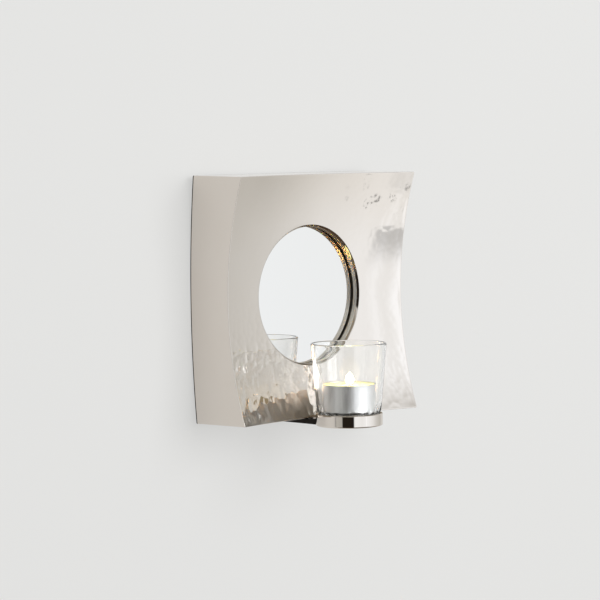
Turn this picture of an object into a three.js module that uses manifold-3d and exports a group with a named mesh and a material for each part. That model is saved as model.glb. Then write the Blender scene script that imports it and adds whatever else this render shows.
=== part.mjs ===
// A square wall sconce: a dished face with a round mirror, and an arm that carries a votive glass and a tealight.
// Millimetres. The wall is the plane y = 0, the face looks along -Y and +Z is up.
// A depth is a distance from the wall towards the viewer, so a point at depth d has y = -d.

import * as THREE from 'three';
import { mergeVertices } from 'three/addons/utils/BufferGeometryUtils.js';
import Module from 'manifold-3d';

const wasm = await Module();
wasm.setup();

// Shell: the dished face and the four sides folded back to the wall
const PLATE_SIDE = 175;
const CORNER_DEPTH = 54;
const SIDE_BOW = 15.5;
const TOP_BOW = 11.5;
const BACK_ARCH = 4.4;
const SIDE_DRAFT = 0.8;
const SHEET = 1.2;
const FOLD_RADIUS = 0.6;
const CORNER_RADIUS = 0.8;

// Collar and mirror
const COLLAR_BORE = 50;
const COLLAR_WALL = 1.5;
const COLLAR_TAPER = 1.2;
const COLLAR_WAIST = 0.45;
const RIM_FALL = 0.4;
const FLANGE_THICK = 1.5;
const REBATE_DEPTH = 0.9;
const REBATE_WIDTH = 1.3;
const MIRROR_SETBACK = 6.3;
const MIRROR_THICK = 3;
const MIRROR_OVERLAP = 6;
const BACKING_THICK = 2.5;

// Clips behind the mirror
const CLIP_COUNT = 4;
const CLIP_WIDTH = 12;
const CLIP_SHEET = 1.2;
const CLIP_FOOT = 9;
const CLIP_HOOK = 7;
const CLIP_SCREW_RADIUS = 1.4;
const CLIP_SCREW_HEAD = 2.6;
const CLIP_SCREW_HEAD_HEIGHT = 1.6;
const CLIP_SCREW_TIP = 1.5;

// Board, gussets and hanger at the back
const BOARD_THICK = 6;
const BOARD_CORNER = 3;
const GUSSET_LEG = 30;
const GUSSET_THICK = 8;
const GUSSET_CHAMFER = 4;
const GUSSET_HOLE_INSET = 10;
const BOARD_SCREW_RADIUS = 1.6;
const BOARD_SCREW_HEAD = 3.4;
const BOARD_SCREW_HEAD_HEIGHT = 2;
const HANGER_DROP = 32.5;
const HANGER_LENGTH = 46;
const HANGER_WIDTH = 20;
const HANGER_THICK = 1.5;
const KEYHOLE_RADIUS = 5;
const KEYHOLE_SLOT = 5;
const KEYHOLE_RISE = 8;
const HANGER_SCREW_RADIUS = 1.2;
const HANGER_SCREW_HEAD = 2.4;
const HANGER_SCREW_HEAD_HEIGHT = 1.2;
const HANGER_SCREW_LENGTH = 5;
const HANGER_SCREW_INSET = 6;

// Arm and cup ring
const ARM_WIDTH = 24;
const ARM_THICK = 3.5;
const ARM_TAIL = 9;
const ARM_SCREW_INSET = 12;
const ARM_SCREW_RADIUS = 1.9;
const ARM_SCREW_HEAD = 3.6;
const ARM_SCREW_HEAD_HEIGHT = 1.9;
const ARM_NUT_RADIUS = 3.9;
const ARM_NUT_THICK = 3;
const CUP_STANDOFF = 3.3;
const RING_WALL = 1.6;
const RING_HEIGHT = 9;

// Glass
const GLASS_HEIGHT = 55.7;
const GLASS_BASE = 6.8;
const GLASS_WALL = 2.4;
const GLASS_RIM_WALL = 1.6;
const GLASS_SHOULDER = 1.85;
const GLASS_SHOULDER_RISE = 3;
const GLASS_FLARE = 3.75;
const GLASS_PUNT = 1;
const GLASS_FOOT_RIM = 4;
const GLASS_EDGE = 1.5;

// Tealight
const TIN_RADIUS = 19.1;
const TIN_HEIGHT = 19.4;
const TIN_WALL = 0.4;
const TIN_TAPER = 0.4;
const TIN_BEAD = 0.25;
const WAX_DROP = 0.9;
const WAX_POOL = 0.5;
const WAX_POOL_RADIUS = 6;
const WAX_EDGE = 0.6;
const SUSTAINER_RADIUS = 7;
const SUSTAINER_THICK = 0.4;
const SUSTAINER_NECK_RADIUS = 1.6;
const SUSTAINER_NECK = 3;
const WICK_RADIUS = 0.6;
const WICK_RISE = 6.3;
const WICK_BEND = 1.5;

// Clearances
const SOLDER_GAP = 0.3;
const SEAT_GAP = 0.1;
const BOARD_GAP = 3.5;
const SCREW_CLEARANCE = 0.15;
const ARM_GAP = 0.4;
const FOOT_CLEARANCE = 0.8;
const SHOULDER_GAP = 0.5;
const TIN_CLEARANCE = 1.75;
const WAX_GAP = 0.15;
const CUT_MARGIN = 1;

// Facets
const LARGE_ROUND = 60;
const CUP_ROUND = 40;
const SMALL_ROUND = 12;
const SIDE_STEPS = 12;
const CORNER_STEPS = 2;
const FACE_STEPS = 6;
const FOLD_STEPS = 3;
const PANEL_STEPS = 3;
const BEND_STEPS = 4;
const WICK_STEPS = 10;
const WICK_SIDES = 8;

// Places that several pieces share
const HALF = PLATE_SIDE / 2;
const HANGER_HEIGHT = HALF - HANGER_DROP;
const HOLE_RADIUS = COLLAR_BORE + COLLAR_WALL + SOLDER_GAP;
const RIM_DEPTH = faceDepth(COLLAR_BORE, 0);
const MIRROR_FRONT = RIM_DEPTH - MIRROR_SETBACK;
const MIRROR_RADIUS = COLLAR_BORE + MIRROR_OVERLAP;
const BACKING_FRONT = MIRROR_FRONT - MIRROR_THICK - SEAT_GAP;
const BACKING_BACK = BACKING_FRONT - BACKING_THICK;
const CLIP_INNER = MIRROR_RADIUS + SOLDER_GAP;
const FLANGE_RADIUS = CLIP_INNER + CLIP_SHEET + CLIP_FOOT;
const CLIP_SCREW_PLACE = CLIP_INNER + CLIP_SHEET + CLIP_FOOT / 2;
const FLANGE_BACK = MIRROR_FRONT + SEAT_GAP;
const LOWER_EDGE_DEPTH = faceDepth(0, HALF);

const TIN_OUTER = TIN_RADIUS + TIN_BEAD;
const GLASS_INNER = TIN_OUTER + TIN_CLEARANCE;
const GLASS_BODY = GLASS_INNER + GLASS_WALL;
const GLASS_RIM = GLASS_BODY + GLASS_FLARE;
const GLASS_FOOT = GLASS_BODY - GLASS_SHOULDER;
const RING_BORE = GLASS_FOOT + FOOT_CLEARANCE;
const RING_OUTER = RING_BORE + RING_WALL;
const CUP_DEPTH = LOWER_EDGE_DEPTH + CUP_STANDOFF + RING_OUTER;
const ARM_TOP = -(HALF + SIDE_DRAFT + ARM_GAP);
const ARM_BOTTOM = ARM_TOP - ARM_THICK;
const ARM_SCREW_DEPTHS = [BOARD_THICK + ARM_SCREW_INSET, LOWER_EDGE_DEPTH - ARM_SCREW_INSET];
const GLASS_BOTTOM = ARM_TOP + SEAT_GAP;
const GLASS_FLOOR = GLASS_BOTTOM + GLASS_BASE;
const GLASS_TOP = GLASS_BOTTOM + GLASS_HEIGHT;
const SHOULDER_START = ARM_BOTTOM + RING_HEIGHT + SHOULDER_GAP;
const TIN_BOTTOM = GLASS_FLOOR + SEAT_GAP;
const TIN_TOP = TIN_BOTTOM + TIN_HEIGHT;
const WAX_BOTTOM = TIN_BOTTOM + TIN_WALL + SEAT_GAP;
const WAX_TOP = TIN_TOP - WAX_DROP;
const WICK_HOLE = WICK_RADIUS + WAX_GAP;

// Depth of the face's front: a shallow bowl that is deepest at the centre and comes forward to the corners.
function faceDepth(x, z) {
  const across = 1 - (x / (PLATE_SIDE / 2)) ** 2;
  const along = 1 - (z / (PLATE_SIDE / 2)) ** 2;
  return CORNER_DEPTH - TOP_BOW * across - SIDE_BOW * along;
}

// Materials
function finish(color, metalness, roughness) {
  return new THREE.MeshStandardMaterial({ color, metalness, roughness });
}
const nickel = finish(0xd2ccc4, 1, 0.08);
const plainSteel = finish(0xa8a8a6, 1, 0.35);
const brass = finish(0xb49a62, 1, 0.35);
const silvered = finish(0xf0f2f0, 1, 0.02);
const blackBoard = finish(0x1c1a18, 0, 0.8);
const greyBoard = finish(0x6f675c, 0, 0.9);
const clearGlass = new THREE.MeshStandardMaterial({
  color: 0xf4f8f6, metalness: 0, roughness: 0.02, transparent: true, opacity: 0.3,
});
const tinFoil = finish(0xc8ccd0, 1, 0.3);
const wax = finish(0xf6ecd2, 0, 0.5);
const cotton = finish(0x3a322a, 0, 0.95);

const sconce = new THREE.Group();
const cup = new THREE.Group();
cup.position.set(0, -CUP_DEPTH, 0);
sconce.add(cup);

function place(name, geometry, material, parent = sconce) {
  const mesh = new THREE.Mesh(geometry, material);
  mesh.name = name;
  parent.add(mesh);
  return mesh;
}

// Solid of revolution from [radius, height] pairs, about +Z.
function turned(profile, steps) {
  const points = profile.map(([radius, height]) => new THREE.Vector2(radius, height));
  return new THREE.LatheGeometry(points, steps).rotateX(Math.PI / 2);
}

// The same about the wall's normal, from [radius, depth] pairs.
function turnedFromWall(profile, steps) {
  const points = profile.map(([radius, depth]) => new THREE.Vector2(radius, depth));
  return new THREE.LatheGeometry(points, steps).rotateX(Math.PI);
}

function closed(profile) {
  return [...profile, profile[0]];
}

// Flat piece parallel to the wall, from its outline as seen from the front.
function plate(shape, thickness, depth) {
  const geometry = new THREE.ExtrudeGeometry(shape, { depth: thickness, bevelEnabled: false, curveSegments: 8 });
  return geometry.rotateX(Math.PI / 2).translate(0, -depth, 0);
}

function block(width, height, thickness, depth) {
  return new THREE.BoxGeometry(width, thickness, height).translate(0, -depth - thickness / 2, 0);
}

// Closed rings of points joined one after the other, the last one back to the first.
function loft(rings) {
  const count = rings[0].length;
  const positions = rings.flat().flatMap((point) => point.toArray());
  const index = [];
  rings.forEach((ring, k) => {
    const next = (k + 1) % rings.length;
    for (let j = 0; j < count; j += 1) {
      const side = (j + 1) % count;
      index.push(k * count + j, next * count + side, k * count + side);
      index.push(k * count + j, next * count + j, next * count + side);
    }
  });
  const geometry = new THREE.BufferGeometry();
  geometry.setAttribute('position', new THREE.Float32BufferAttribute(positions, 3));
  geometry.setIndex(index);
  return geometry;
}

function solid(geometry) {
  const bare = geometry.clone();
  bare.deleteAttribute('normal');
  bare.deleteAttribute('uv');
  const merged = mergeVertices(bare, 1e-4);
  const corners = [...merged.index.array];
  const triVerts = [];
  for (let i = 0; i < corners.length; i += 3) {
    const [a, b, c] = corners.slice(i, i + 3);
    if (a !== b && b !== c && c !== a) triVerts.push(a, b, c);
  }
  return new wasm.Manifold(new wasm.Mesh({
    numProp: 3,
    vertProperties: Float32Array.from(merged.attributes.position.array),
    triVerts: Uint32Array.from(triVerts),
  }));
}

function cut(geometry, cutters) {
  const left = cutters.reduce((body, cutter) => body.subtract(solid(cutter)), solid(geometry));
  const mesh = left.getMesh();
  const result = new THREE.BufferGeometry();
  result.setAttribute('position', new THREE.BufferAttribute(mesh.vertProperties, 3));
  result.setIndex(new THREE.BufferAttribute(mesh.triVerts, 1));
  return result;
}

// Outline of a square with rounded corners, counter-clockwise from the foot of its right side.
function squareOutline(half, radius) {
  const straight = half - radius;
  const quarter = [];
  for (let i = 0; i <= SIDE_STEPS; i += 1) {
    quarter.push([half, straight * (2 * i / SIDE_STEPS - 1)]);
  }
  for (let i = 1; i <= CORNER_STEPS; i += 1) {
    const turn = (Math.PI / 2) * i / (CORNER_STEPS + 1);
    quarter.push([straight + radius * Math.cos(turn), straight + radius * Math.sin(turn)]);
  }
  const outline = [];
  for (let side = 0; side < 4; side += 1) {
    const turn = side * Math.PI / 2;
    const c = Math.round(Math.cos(turn));
    const s = Math.round(Math.sin(turn));
    quarter.forEach(([x, z]) => outline.push([c * x - s * z, s * x + c * z]));
  }
  return outline;
}

// How far a side leans out at a depth, as a factor on the outline.
function lean(depth) {
  return 1 + SIDE_DRAFT * (1 - depth / CORNER_DEPTH) / HALF;
}

// Rear edge: the middle of each side touches the wall and the corners stand off it.
function rearDepth(x, z) {
  const along = Math.min(Math.abs(x), Math.abs(z)) / HALF;
  return BACK_ARCH * Math.min(along, 1) ** 2;
}

// One skin of the shell, from the round hole over the face, round the fold and down the sides to the rear edge.
function shellSkin(inset) {
  const half = HALF - inset;
  const fold = FOLD_RADIUS - inset * FOLD_RADIUS / (FOLD_RADIUS + SHEET);
  const corner = CORNER_RADIUS - inset * CORNER_RADIUS / (CORNER_RADIUS + SHEET);
  const point = (x, z, depth) => new THREE.Vector3(x * lean(depth), -depth, z * lean(depth));
  const rings = [];
  const faceEdge = squareOutline(half - fold, corner);
  for (let k = 0; k < FACE_STEPS; k += 1) {
    const share = k / FACE_STEPS;
    rings.push(faceEdge.map(([x, z]) => {
      const reach = Math.hypot(x, z);
      const scale = (1 - share) * HOLE_RADIUS / reach + share;
      const depth = faceDepth(x * scale, z * scale) - inset;
      const straight = k === 0 ? 1 / lean(depth) : 1;
      return point(x * scale * straight, z * scale * straight, depth);
    }));
  }
  for (let k = 0; k <= FOLD_STEPS; k += 1) {
    const turn = (Math.PI / 2) * k / FOLD_STEPS;
    const edge = squareOutline(half - fold * (1 - Math.sin(turn)), corner);
    rings.push(edge.map(([x, z]) => point(x, z, faceDepth(x, z) - inset - fold * (1 - Math.cos(turn)))));
  }
  const side = squareOutline(half, corner);
  for (let k = 1; k <= PANEL_STEPS; k += 1) {
    const share = k / PANEL_STEPS;
    rings.push(side.map(([x, z]) => {
      const front = faceDepth(x, z) - inset - fold;
      return point(x, z, front + share * (rearDepth(x, z) - front));
    }));
  }
  return rings;
}

// Screws: profiles of [radius, distance from the head's outer face], with room added for the holes they pass.
function countersunk(head, headHeight, shank, length, room = 0, start = 0) {
  return [[0, start], [head + room, start], [head + room, room], [shank + room, headHeight + room],
    [shank + room, length], [0, length]];
}

function panHead(head, headHeight, shank, length) {
  return [[0, 0], [head * 0.8, 0], [head, headHeight * 0.4], [head, headHeight], [shank, headHeight],
    [shank, length], [0, length]];
}

function drill(radius, length) {
  return [[0, 0], [radius, 0], [radius, length], [0, length]];
}

// Shell
const armHoles = ARM_SCREW_DEPTHS.map((depth) => {
  const hole = turned(drill(ARM_SCREW_RADIUS + SCREW_CLEARANCE, SIDE_DRAFT + SHEET + 2 * CUT_MARGIN), SMALL_ROUND);
  return hole.translate(0, -depth, -(HALF + SIDE_DRAFT + CUT_MARGIN));
});
const shell = loft([...shellSkin(0), ...shellSkin(SHEET).reverse()]);
place('front_shell', cut(shell, armHoles), nickel);

// Collar: a turned ring whose sloping rim follows the bowl of the face. It narrows towards the mirror, ends in a
// rebate there, and has a flange behind the face that the mirror lies against.
function collarRing(radius, depthAt) {
  const ring = [];
  for (let j = 0; j < LARGE_ROUND; j += 1) {
    const turn = 2 * Math.PI * j / LARGE_ROUND;
    const x = radius * Math.cos(turn);
    const z = radius * Math.sin(turn);
    ring.push(new THREE.Vector3(x, -depthAt(turn), z));
  }
  return ring;
}
const collarOuter = COLLAR_BORE + COLLAR_WALL;
const collarThroat = COLLAR_BORE - COLLAR_TAPER;
const rebateFront = FLANGE_BACK + REBATE_WIDTH;
const flangeFront = FLANGE_BACK + FLANGE_THICK;
const lipDepth = (turn) => faceDepth(collarOuter * Math.cos(turn), collarOuter * Math.sin(turn));
const boreDepth = (turn) => lipDepth(turn) - RIM_FALL;
const collarRings = [
  collarRing(collarThroat + REBATE_DEPTH, () => FLANGE_BACK),
  collarRing(collarThroat + REBATE_DEPTH, () => rebateFront),
  collarRing(collarThroat, () => rebateFront),
  collarRing(COLLAR_BORE - COLLAR_WAIST, (turn) => (rebateFront + boreDepth(turn)) / 2),
  collarRing(COLLAR_BORE, boreDepth),
  collarRing(collarOuter, lipDepth),
  collarRing(collarOuter, () => flangeFront),
  collarRing(FLANGE_RADIUS, () => flangeFront),
  collarRing(FLANGE_RADIUS, () => FLANGE_BACK),
];
const clipTurns = Array.from({ length: CLIP_COUNT }, (_, k) => Math.PI / 4 + 2 * Math.PI * k / CLIP_COUNT);
const flangeHoles = clipTurns.map((turn) => {
  const hole = drill(CLIP_SCREW_RADIUS + SCREW_CLEARANCE, FLANGE_THICK + 2 * CUT_MARGIN);
  const x = CLIP_SCREW_PLACE * Math.cos(turn);
  const z = CLIP_SCREW_PLACE * Math.sin(turn);
  return turnedFromWall(hole, SMALL_ROUND).translate(x, -(FLANGE_BACK - CUT_MARGIN), z);
});
place('opening_collar', cut(loft(collarRings), flangeHoles), nickel);

// Mirror and the board disc that backs it
function disc(radius, back, thickness) {
  const profile = [[0, back], [radius, back], [radius, back + thickness], [0, back + thickness]];
  return turnedFromWall(profile, LARGE_ROUND);
}
place('mirror_disc', disc(MIRROR_RADIUS, MIRROR_FRONT - MIRROR_THICK, MIRROR_THICK), silvered);
place('mirror_backing', disc(MIRROR_RADIUS, BACKING_BACK, BACKING_THICK), greyBoard);

// Clips: bent strips from the flange round the mirror's edge to the backing, each with a screw
const footBack = FLANGE_BACK - SOLDER_GAP - CLIP_SHEET;
const hookFront = BACKING_BACK - SOLDER_GAP;
const clipOutline = new THREE.Shape([
  [FLANGE_RADIUS, footBack + CLIP_SHEET], [CLIP_INNER, footBack + CLIP_SHEET], [CLIP_INNER, hookFront],
  [CLIP_INNER - CLIP_HOOK, hookFront], [CLIP_INNER - CLIP_HOOK, hookFront - CLIP_SHEET],
  [CLIP_INNER + CLIP_SHEET, hookFront - CLIP_SHEET], [CLIP_INNER + CLIP_SHEET, footBack], [FLANGE_RADIUS, footBack],
].map(([radius, depth]) => new THREE.Vector2(radius, -depth)));
const clipHole = turnedFromWall(drill(CLIP_SCREW_RADIUS + SCREW_CLEARANCE, CLIP_SHEET + 2 * CUT_MARGIN), SMALL_ROUND)
  .translate(CLIP_SCREW_PLACE, -(footBack - CUT_MARGIN), 0);
const clipStrip = new THREE.ExtrudeGeometry(clipOutline, { depth: CLIP_WIDTH, bevelEnabled: false })
  .translate(0, 0, -CLIP_WIDTH / 2);
const clipShape = cut(clipStrip, [clipHole]);
const clipScrewLength = CLIP_SCREW_HEAD_HEIGHT + CLIP_SHEET + SOLDER_GAP + FLANGE_THICK + CLIP_SCREW_TIP;
const clipScrewShape = turnedFromWall(
  panHead(CLIP_SCREW_HEAD, CLIP_SCREW_HEAD_HEIGHT, CLIP_SCREW_RADIUS, clipScrewLength), SMALL_ROUND,
).translate(CLIP_SCREW_PLACE, -(footBack - SEAT_GAP - CLIP_SCREW_HEAD_HEIGHT), 0);
clipTurns.forEach((turn, k) => {
  const holder = new THREE.Group();
  holder.rotation.y = -turn;
  sconce.add(holder);
  place(`mirror_clip_${k + 1}`, clipShape, plainSteel, holder);
  place(`clip_screw_${k + 1}`, clipScrewShape, plainSteel, holder);
});

// Gussets: three-cornered blocks in the shell's corners that take the board's screws
const gussetBack = BOARD_THICK + SEAT_GAP;
const gussetReach = (HALF - SHEET) * lean(gussetBack + GUSSET_THICK) - SOLDER_GAP;
const gussetHole = gussetReach - GUSSET_HOLE_INSET;
const gussetOutline = new THREE.Shape([
  [gussetReach, gussetReach - GUSSET_LEG], [gussetReach, gussetReach - GUSSET_CHAMFER],
  [gussetReach - GUSSET_CHAMFER, gussetReach], [gussetReach - GUSSET_LEG, gussetReach],
].map(([x, z]) => new THREE.Vector2(x, z)));
gussetOutline.holes.push(new THREE.Path().absarc(
  gussetHole, gussetHole, BOARD_SCREW_RADIUS + SCREW_CLEARANCE, 0, 2 * Math.PI, true,
));
const gussetShape = plate(gussetOutline, GUSSET_THICK, gussetBack);
const boardScrew = countersunk(
  BOARD_SCREW_HEAD, BOARD_SCREW_HEAD_HEIGHT, BOARD_SCREW_RADIUS, gussetBack + GUSSET_THICK,
);
const boardScrewShape = turnedFromWall(boardScrew, SMALL_ROUND).translate(gussetHole, 0, gussetHole);
const boardScrewHole = turnedFromWall(countersunk(
  BOARD_SCREW_HEAD, BOARD_SCREW_HEAD_HEIGHT, BOARD_SCREW_RADIUS, BOARD_THICK + CUT_MARGIN,
  SCREW_CLEARANCE, -CUT_MARGIN,
), SMALL_ROUND).translate(gussetHole, 0, gussetHole);
const boardScrewHoles = [];
for (let k = 0; k < 4; k += 1) {
  const turn = k * Math.PI / 2;
  place(`corner_gusset_${k + 1}`, gussetShape.clone().rotateY(turn), brass);
  place(`board_screw_${k + 1}`, boardScrewShape.clone().rotateY(turn), plainSteel);
  boardScrewHoles.push(boardScrewHole.clone().rotateY(turn));
}

// Hanger: a round-ended keyhole plate let into the back of the board
function stadium(length, width) {
  const straight = (length - width) / 2;
  const shape = new THREE.Shape();
  shape.absarc(straight, 0, width / 2, -Math.PI / 2, Math.PI / 2, false);
  shape.absarc(-straight, 0, width / 2, Math.PI / 2, 3 * Math.PI / 2, false);
  shape.closePath();
  return shape;
}
const slotTurn = Math.asin(KEYHOLE_SLOT / 2 / KEYHOLE_RADIUS);
const keyhole = new THREE.Path();
keyhole.absarc(0, -KEYHOLE_RISE / 2, KEYHOLE_RADIUS, Math.PI / 2 - slotTurn, Math.PI / 2 + slotTurn, true);
keyhole.absarc(0, KEYHOLE_RISE / 2, KEYHOLE_SLOT / 2, Math.PI, 0, true);
keyhole.closePath();
const hangerOutline = stadium(HANGER_LENGTH, HANGER_WIDTH);
hangerOutline.holes.push(keyhole);
const hangerScrewPlaces = [-1, 1].map((side) => side * (HANGER_LENGTH / 2 - HANGER_SCREW_INSET));
const hangerScrewHoles = hangerScrewPlaces.map((x) => turnedFromWall(countersunk(
  HANGER_SCREW_HEAD, HANGER_SCREW_HEAD_HEIGHT, HANGER_SCREW_RADIUS, HANGER_SCREW_LENGTH + SCREW_CLEARANCE,
  SCREW_CLEARANCE, -CUT_MARGIN,
), SMALL_ROUND).translate(x, 0, HANGER_HEIGHT));
const hangerPlate = plate(hangerOutline, HANGER_THICK, 0).translate(0, 0, HANGER_HEIGHT);
place('hanger_plate', cut(hangerPlate, hangerScrewHoles), plainSteel);
hangerScrewPlaces.forEach((x, k) => {
  const screw = countersunk(
    HANGER_SCREW_HEAD, HANGER_SCREW_HEAD_HEIGHT, HANGER_SCREW_RADIUS, HANGER_SCREW_LENGTH,
  );
  place(`hanger_screw_${k + 1}`, turnedFromWall(screw, SMALL_ROUND).translate(x, 0, HANGER_HEIGHT), plainSteel);
});

// Board: closes the back of the shell, recessed for the hanger with a window behind the keyhole
const boardHalf = (HALF - SHEET) * lean(BOARD_THICK) - BOARD_GAP;
const boardOutline = new THREE.Shape(
  squareOutline(boardHalf, BOARD_CORNER).map(([x, z]) => new THREE.Vector2(x, z)),
);
const hangerRecess = plate(
  stadium(HANGER_LENGTH + 2 * SOLDER_GAP, HANGER_WIDTH + 2 * SOLDER_GAP), HANGER_THICK + SEAT_GAP + CUT_MARGIN,
  -CUT_MARGIN,
).translate(0, 0, HANGER_HEIGHT);
const keyholeWidth = 2 * (KEYHOLE_RADIUS + CUT_MARGIN);
const keyholeHeight = KEYHOLE_RISE + KEYHOLE_RADIUS + KEYHOLE_SLOT / 2 + 2 * CUT_MARGIN;
const keyholeWindow = block(keyholeWidth, keyholeHeight, BOARD_THICK + 2 * CUT_MARGIN, -CUT_MARGIN)
  .translate(0, 0, HANGER_HEIGHT + (KEYHOLE_SLOT / 2 - KEYHOLE_RADIUS) / 2);
place('back_board', cut(
  plate(boardOutline, BOARD_THICK, 0),
  [hangerRecess, keyholeWindow, ...hangerScrewHoles, ...boardScrewHoles],
), blackBoard);

// Arm: a flat bar under the lower side whose round end is the floor of the cup
const armEnd = RING_BORE - SOLDER_GAP;
const armTurn = Math.acos(ARM_WIDTH / 2 / armEnd);
const armStart = ARM_SCREW_DEPTHS[0] - ARM_TAIL;
const armOutline = new THREE.Shape();
armOutline.moveTo(ARM_WIDTH / 2, -armStart);
armOutline.lineTo(-ARM_WIDTH / 2, -armStart);
armOutline.absarc(0, -CUP_DEPTH, armEnd, Math.PI - armTurn, 2 * Math.PI + armTurn, false);
armOutline.closePath();
const armBar = new THREE.ExtrudeGeometry(armOutline, { depth: ARM_THICK, bevelEnabled: false, curveSegments: 24 })
  .translate(0, 0, ARM_BOTTOM);
const panelInside = -(HALF - SHEET);
const armScrewLength = panelInside + SEAT_GAP + ARM_NUT_THICK - ARM_BOTTOM;
const armScrewHole = turned(countersunk(
  ARM_SCREW_HEAD, ARM_SCREW_HEAD_HEIGHT, ARM_SCREW_RADIUS, ARM_THICK + CUT_MARGIN, SCREW_CLEARANCE, -CUT_MARGIN,
), SMALL_ROUND);
const armScrewHoles = ARM_SCREW_DEPTHS.map((depth) => armScrewHole.clone().translate(0, -depth, ARM_BOTTOM));
place('candle_arm', cut(armBar, armScrewHoles), nickel);
const nutOutline = new THREE.Shape(Array.from({ length: 6 }, (_, k) => new THREE.Vector2(
  ARM_NUT_RADIUS * Math.cos(k * Math.PI / 3), ARM_NUT_RADIUS * Math.sin(k * Math.PI / 3),
)));
nutOutline.holes.push(new THREE.Path().absarc(0, 0, ARM_SCREW_RADIUS + SCREW_CLEARANCE, 0, 2 * Math.PI, true));
const nutShape = new THREE.ExtrudeGeometry(nutOutline, { depth: ARM_NUT_THICK, bevelEnabled: false, curveSegments: 8 });
const armScrew = countersunk(ARM_SCREW_HEAD, ARM_SCREW_HEAD_HEIGHT, ARM_SCREW_RADIUS, armScrewLength);
ARM_SCREW_DEPTHS.forEach((depth, k) => {
  place(`arm_screw_${k + 1}`, turned(armScrew, SMALL_ROUND).translate(0, -depth, ARM_BOTTOM), plainSteel);
  place(`arm_nut_${k + 1}`, nutShape.clone().translate(0, -depth, panelInside + SEAT_GAP), plainSteel);
});

// Cup ring: a band soldered round the arm's end, notched at the back where the bar comes in
const ringTop = ARM_BOTTOM + RING_HEIGHT;
const ringBand = turned(closed([
  [RING_BORE, ARM_BOTTOM], [RING_OUTER, ARM_BOTTOM], [RING_OUTER, ringTop - RING_WALL / 2],
  [RING_BORE + RING_WALL / 2, ringTop], [RING_BORE, ringTop - RING_WALL / 2],
]), CUP_ROUND);
const notch = new THREE.BoxGeometry(
  ARM_WIDTH + 2 * SOLDER_GAP, RING_OUTER + CUT_MARGIN, ARM_THICK + SOLDER_GAP + CUT_MARGIN,
).translate(0, (RING_OUTER + CUT_MARGIN) / 2, ARM_BOTTOM + (ARM_THICK + SOLDER_GAP - CUT_MARGIN) / 2);
place('cup_ring', cut(ringBand, [notch]), nickel, cup);

// Glass: a tapered tumbler with a foot that drops into the ring and a shoulder just above it
const glassProfile = [[0, GLASS_BOTTOM + GLASS_PUNT], [GLASS_FOOT - 2 * GLASS_FOOT_RIM, GLASS_BOTTOM + GLASS_PUNT],
  [GLASS_FOOT - GLASS_FOOT_RIM, GLASS_BOTTOM], [GLASS_FOOT - GLASS_EDGE, GLASS_BOTTOM],
  [GLASS_FOOT, GLASS_BOTTOM + GLASS_EDGE], [GLASS_FOOT, SHOULDER_START]];
for (let k = 1; k <= BEND_STEPS; k += 1) {
  const turn = (Math.PI / 2) * k / BEND_STEPS;
  glassProfile.push([GLASS_FOOT + GLASS_SHOULDER * Math.sin(turn),
    SHOULDER_START + GLASS_SHOULDER_RISE * (1 - Math.cos(turn))]);
}
for (let k = 0; k <= BEND_STEPS; k += 1) {
  const turn = Math.PI * k / BEND_STEPS;
  glassProfile.push([GLASS_RIM - (GLASS_RIM_WALL / 2) * (1 - Math.cos(turn)),
    GLASS_TOP - (GLASS_RIM_WALL / 2) * (1 - Math.sin(turn))]);
}
for (let k = 0; k <= BEND_STEPS; k += 1) {
  const turn = (Math.PI / 2) * k / BEND_STEPS;
  glassProfile.push([GLASS_INNER - GLASS_EDGE * (1 - Math.cos(turn)),
    GLASS_FLOOR + GLASS_EDGE * (1 - Math.sin(turn))]);
}
glassProfile.push([0, GLASS_FLOOR]);
place('glass_cup', turned(glassProfile, CUP_ROUND), clearGlass, cup);

// Tealight: drawn tin with a rolled bead, wax round the wick's foot, and the wick
const tinFoot = TIN_RADIUS - TIN_TAPER;
const beadMiddle = TIN_TOP - TIN_BEAD;
const tinProfile = [[0, TIN_BOTTOM], [tinFoot - TIN_BEAD, TIN_BOTTOM], [tinFoot, TIN_BOTTOM + TIN_BEAD],
  [TIN_RADIUS, beadMiddle - TIN_BEAD], [TIN_OUTER, beadMiddle], [TIN_RADIUS + TIN_BEAD / 2, TIN_TOP],
  [TIN_RADIUS - TIN_WALL, TIN_TOP], [tinFoot - TIN_WALL, TIN_BOTTOM + TIN_WALL + TIN_BEAD],
  [tinFoot - TIN_WALL - TIN_BEAD, TIN_BOTTOM + TIN_WALL], [0, TIN_BOTTOM + TIN_WALL]];
place('tealight_tin', turned(tinProfile, CUP_ROUND), tinFoil, cup);

const waxFoot = tinFoot - TIN_WALL - WAX_GAP;
const waxTopRadius = waxFoot + TIN_TAPER * (WAX_TOP - WAX_BOTTOM) / TIN_HEIGHT;
const sustainerTop = WAX_BOTTOM + SUSTAINER_THICK;
const neckTop = sustainerTop + SUSTAINER_NECK;
const waxProfile = closed([[SUSTAINER_RADIUS + WAX_GAP, WAX_BOTTOM], [waxFoot - 2 * TIN_BEAD, WAX_BOTTOM],
  [waxFoot, WAX_BOTTOM + 2 * TIN_BEAD], [waxTopRadius, WAX_TOP], [waxTopRadius - WAX_EDGE, WAX_TOP - WAX_EDGE / 2],
  [WAX_POOL_RADIUS, WAX_TOP - WAX_EDGE / 2], [WAX_POOL_RADIUS / 2, WAX_TOP - WAX_EDGE / 2 - WAX_POOL],
  [WICK_HOLE, WAX_TOP - WAX_EDGE / 2 - WAX_POOL], [WICK_HOLE, neckTop + WAX_GAP],
  [SUSTAINER_NECK_RADIUS + WAX_GAP, neckTop + WAX_GAP], [SUSTAINER_NECK_RADIUS + WAX_GAP, sustainerTop + WAX_GAP],
  [SUSTAINER_RADIUS + WAX_GAP, sustainerTop + WAX_GAP]]);
place('tealight_wax', turned(waxProfile, CUP_ROUND), wax, cup);

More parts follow.
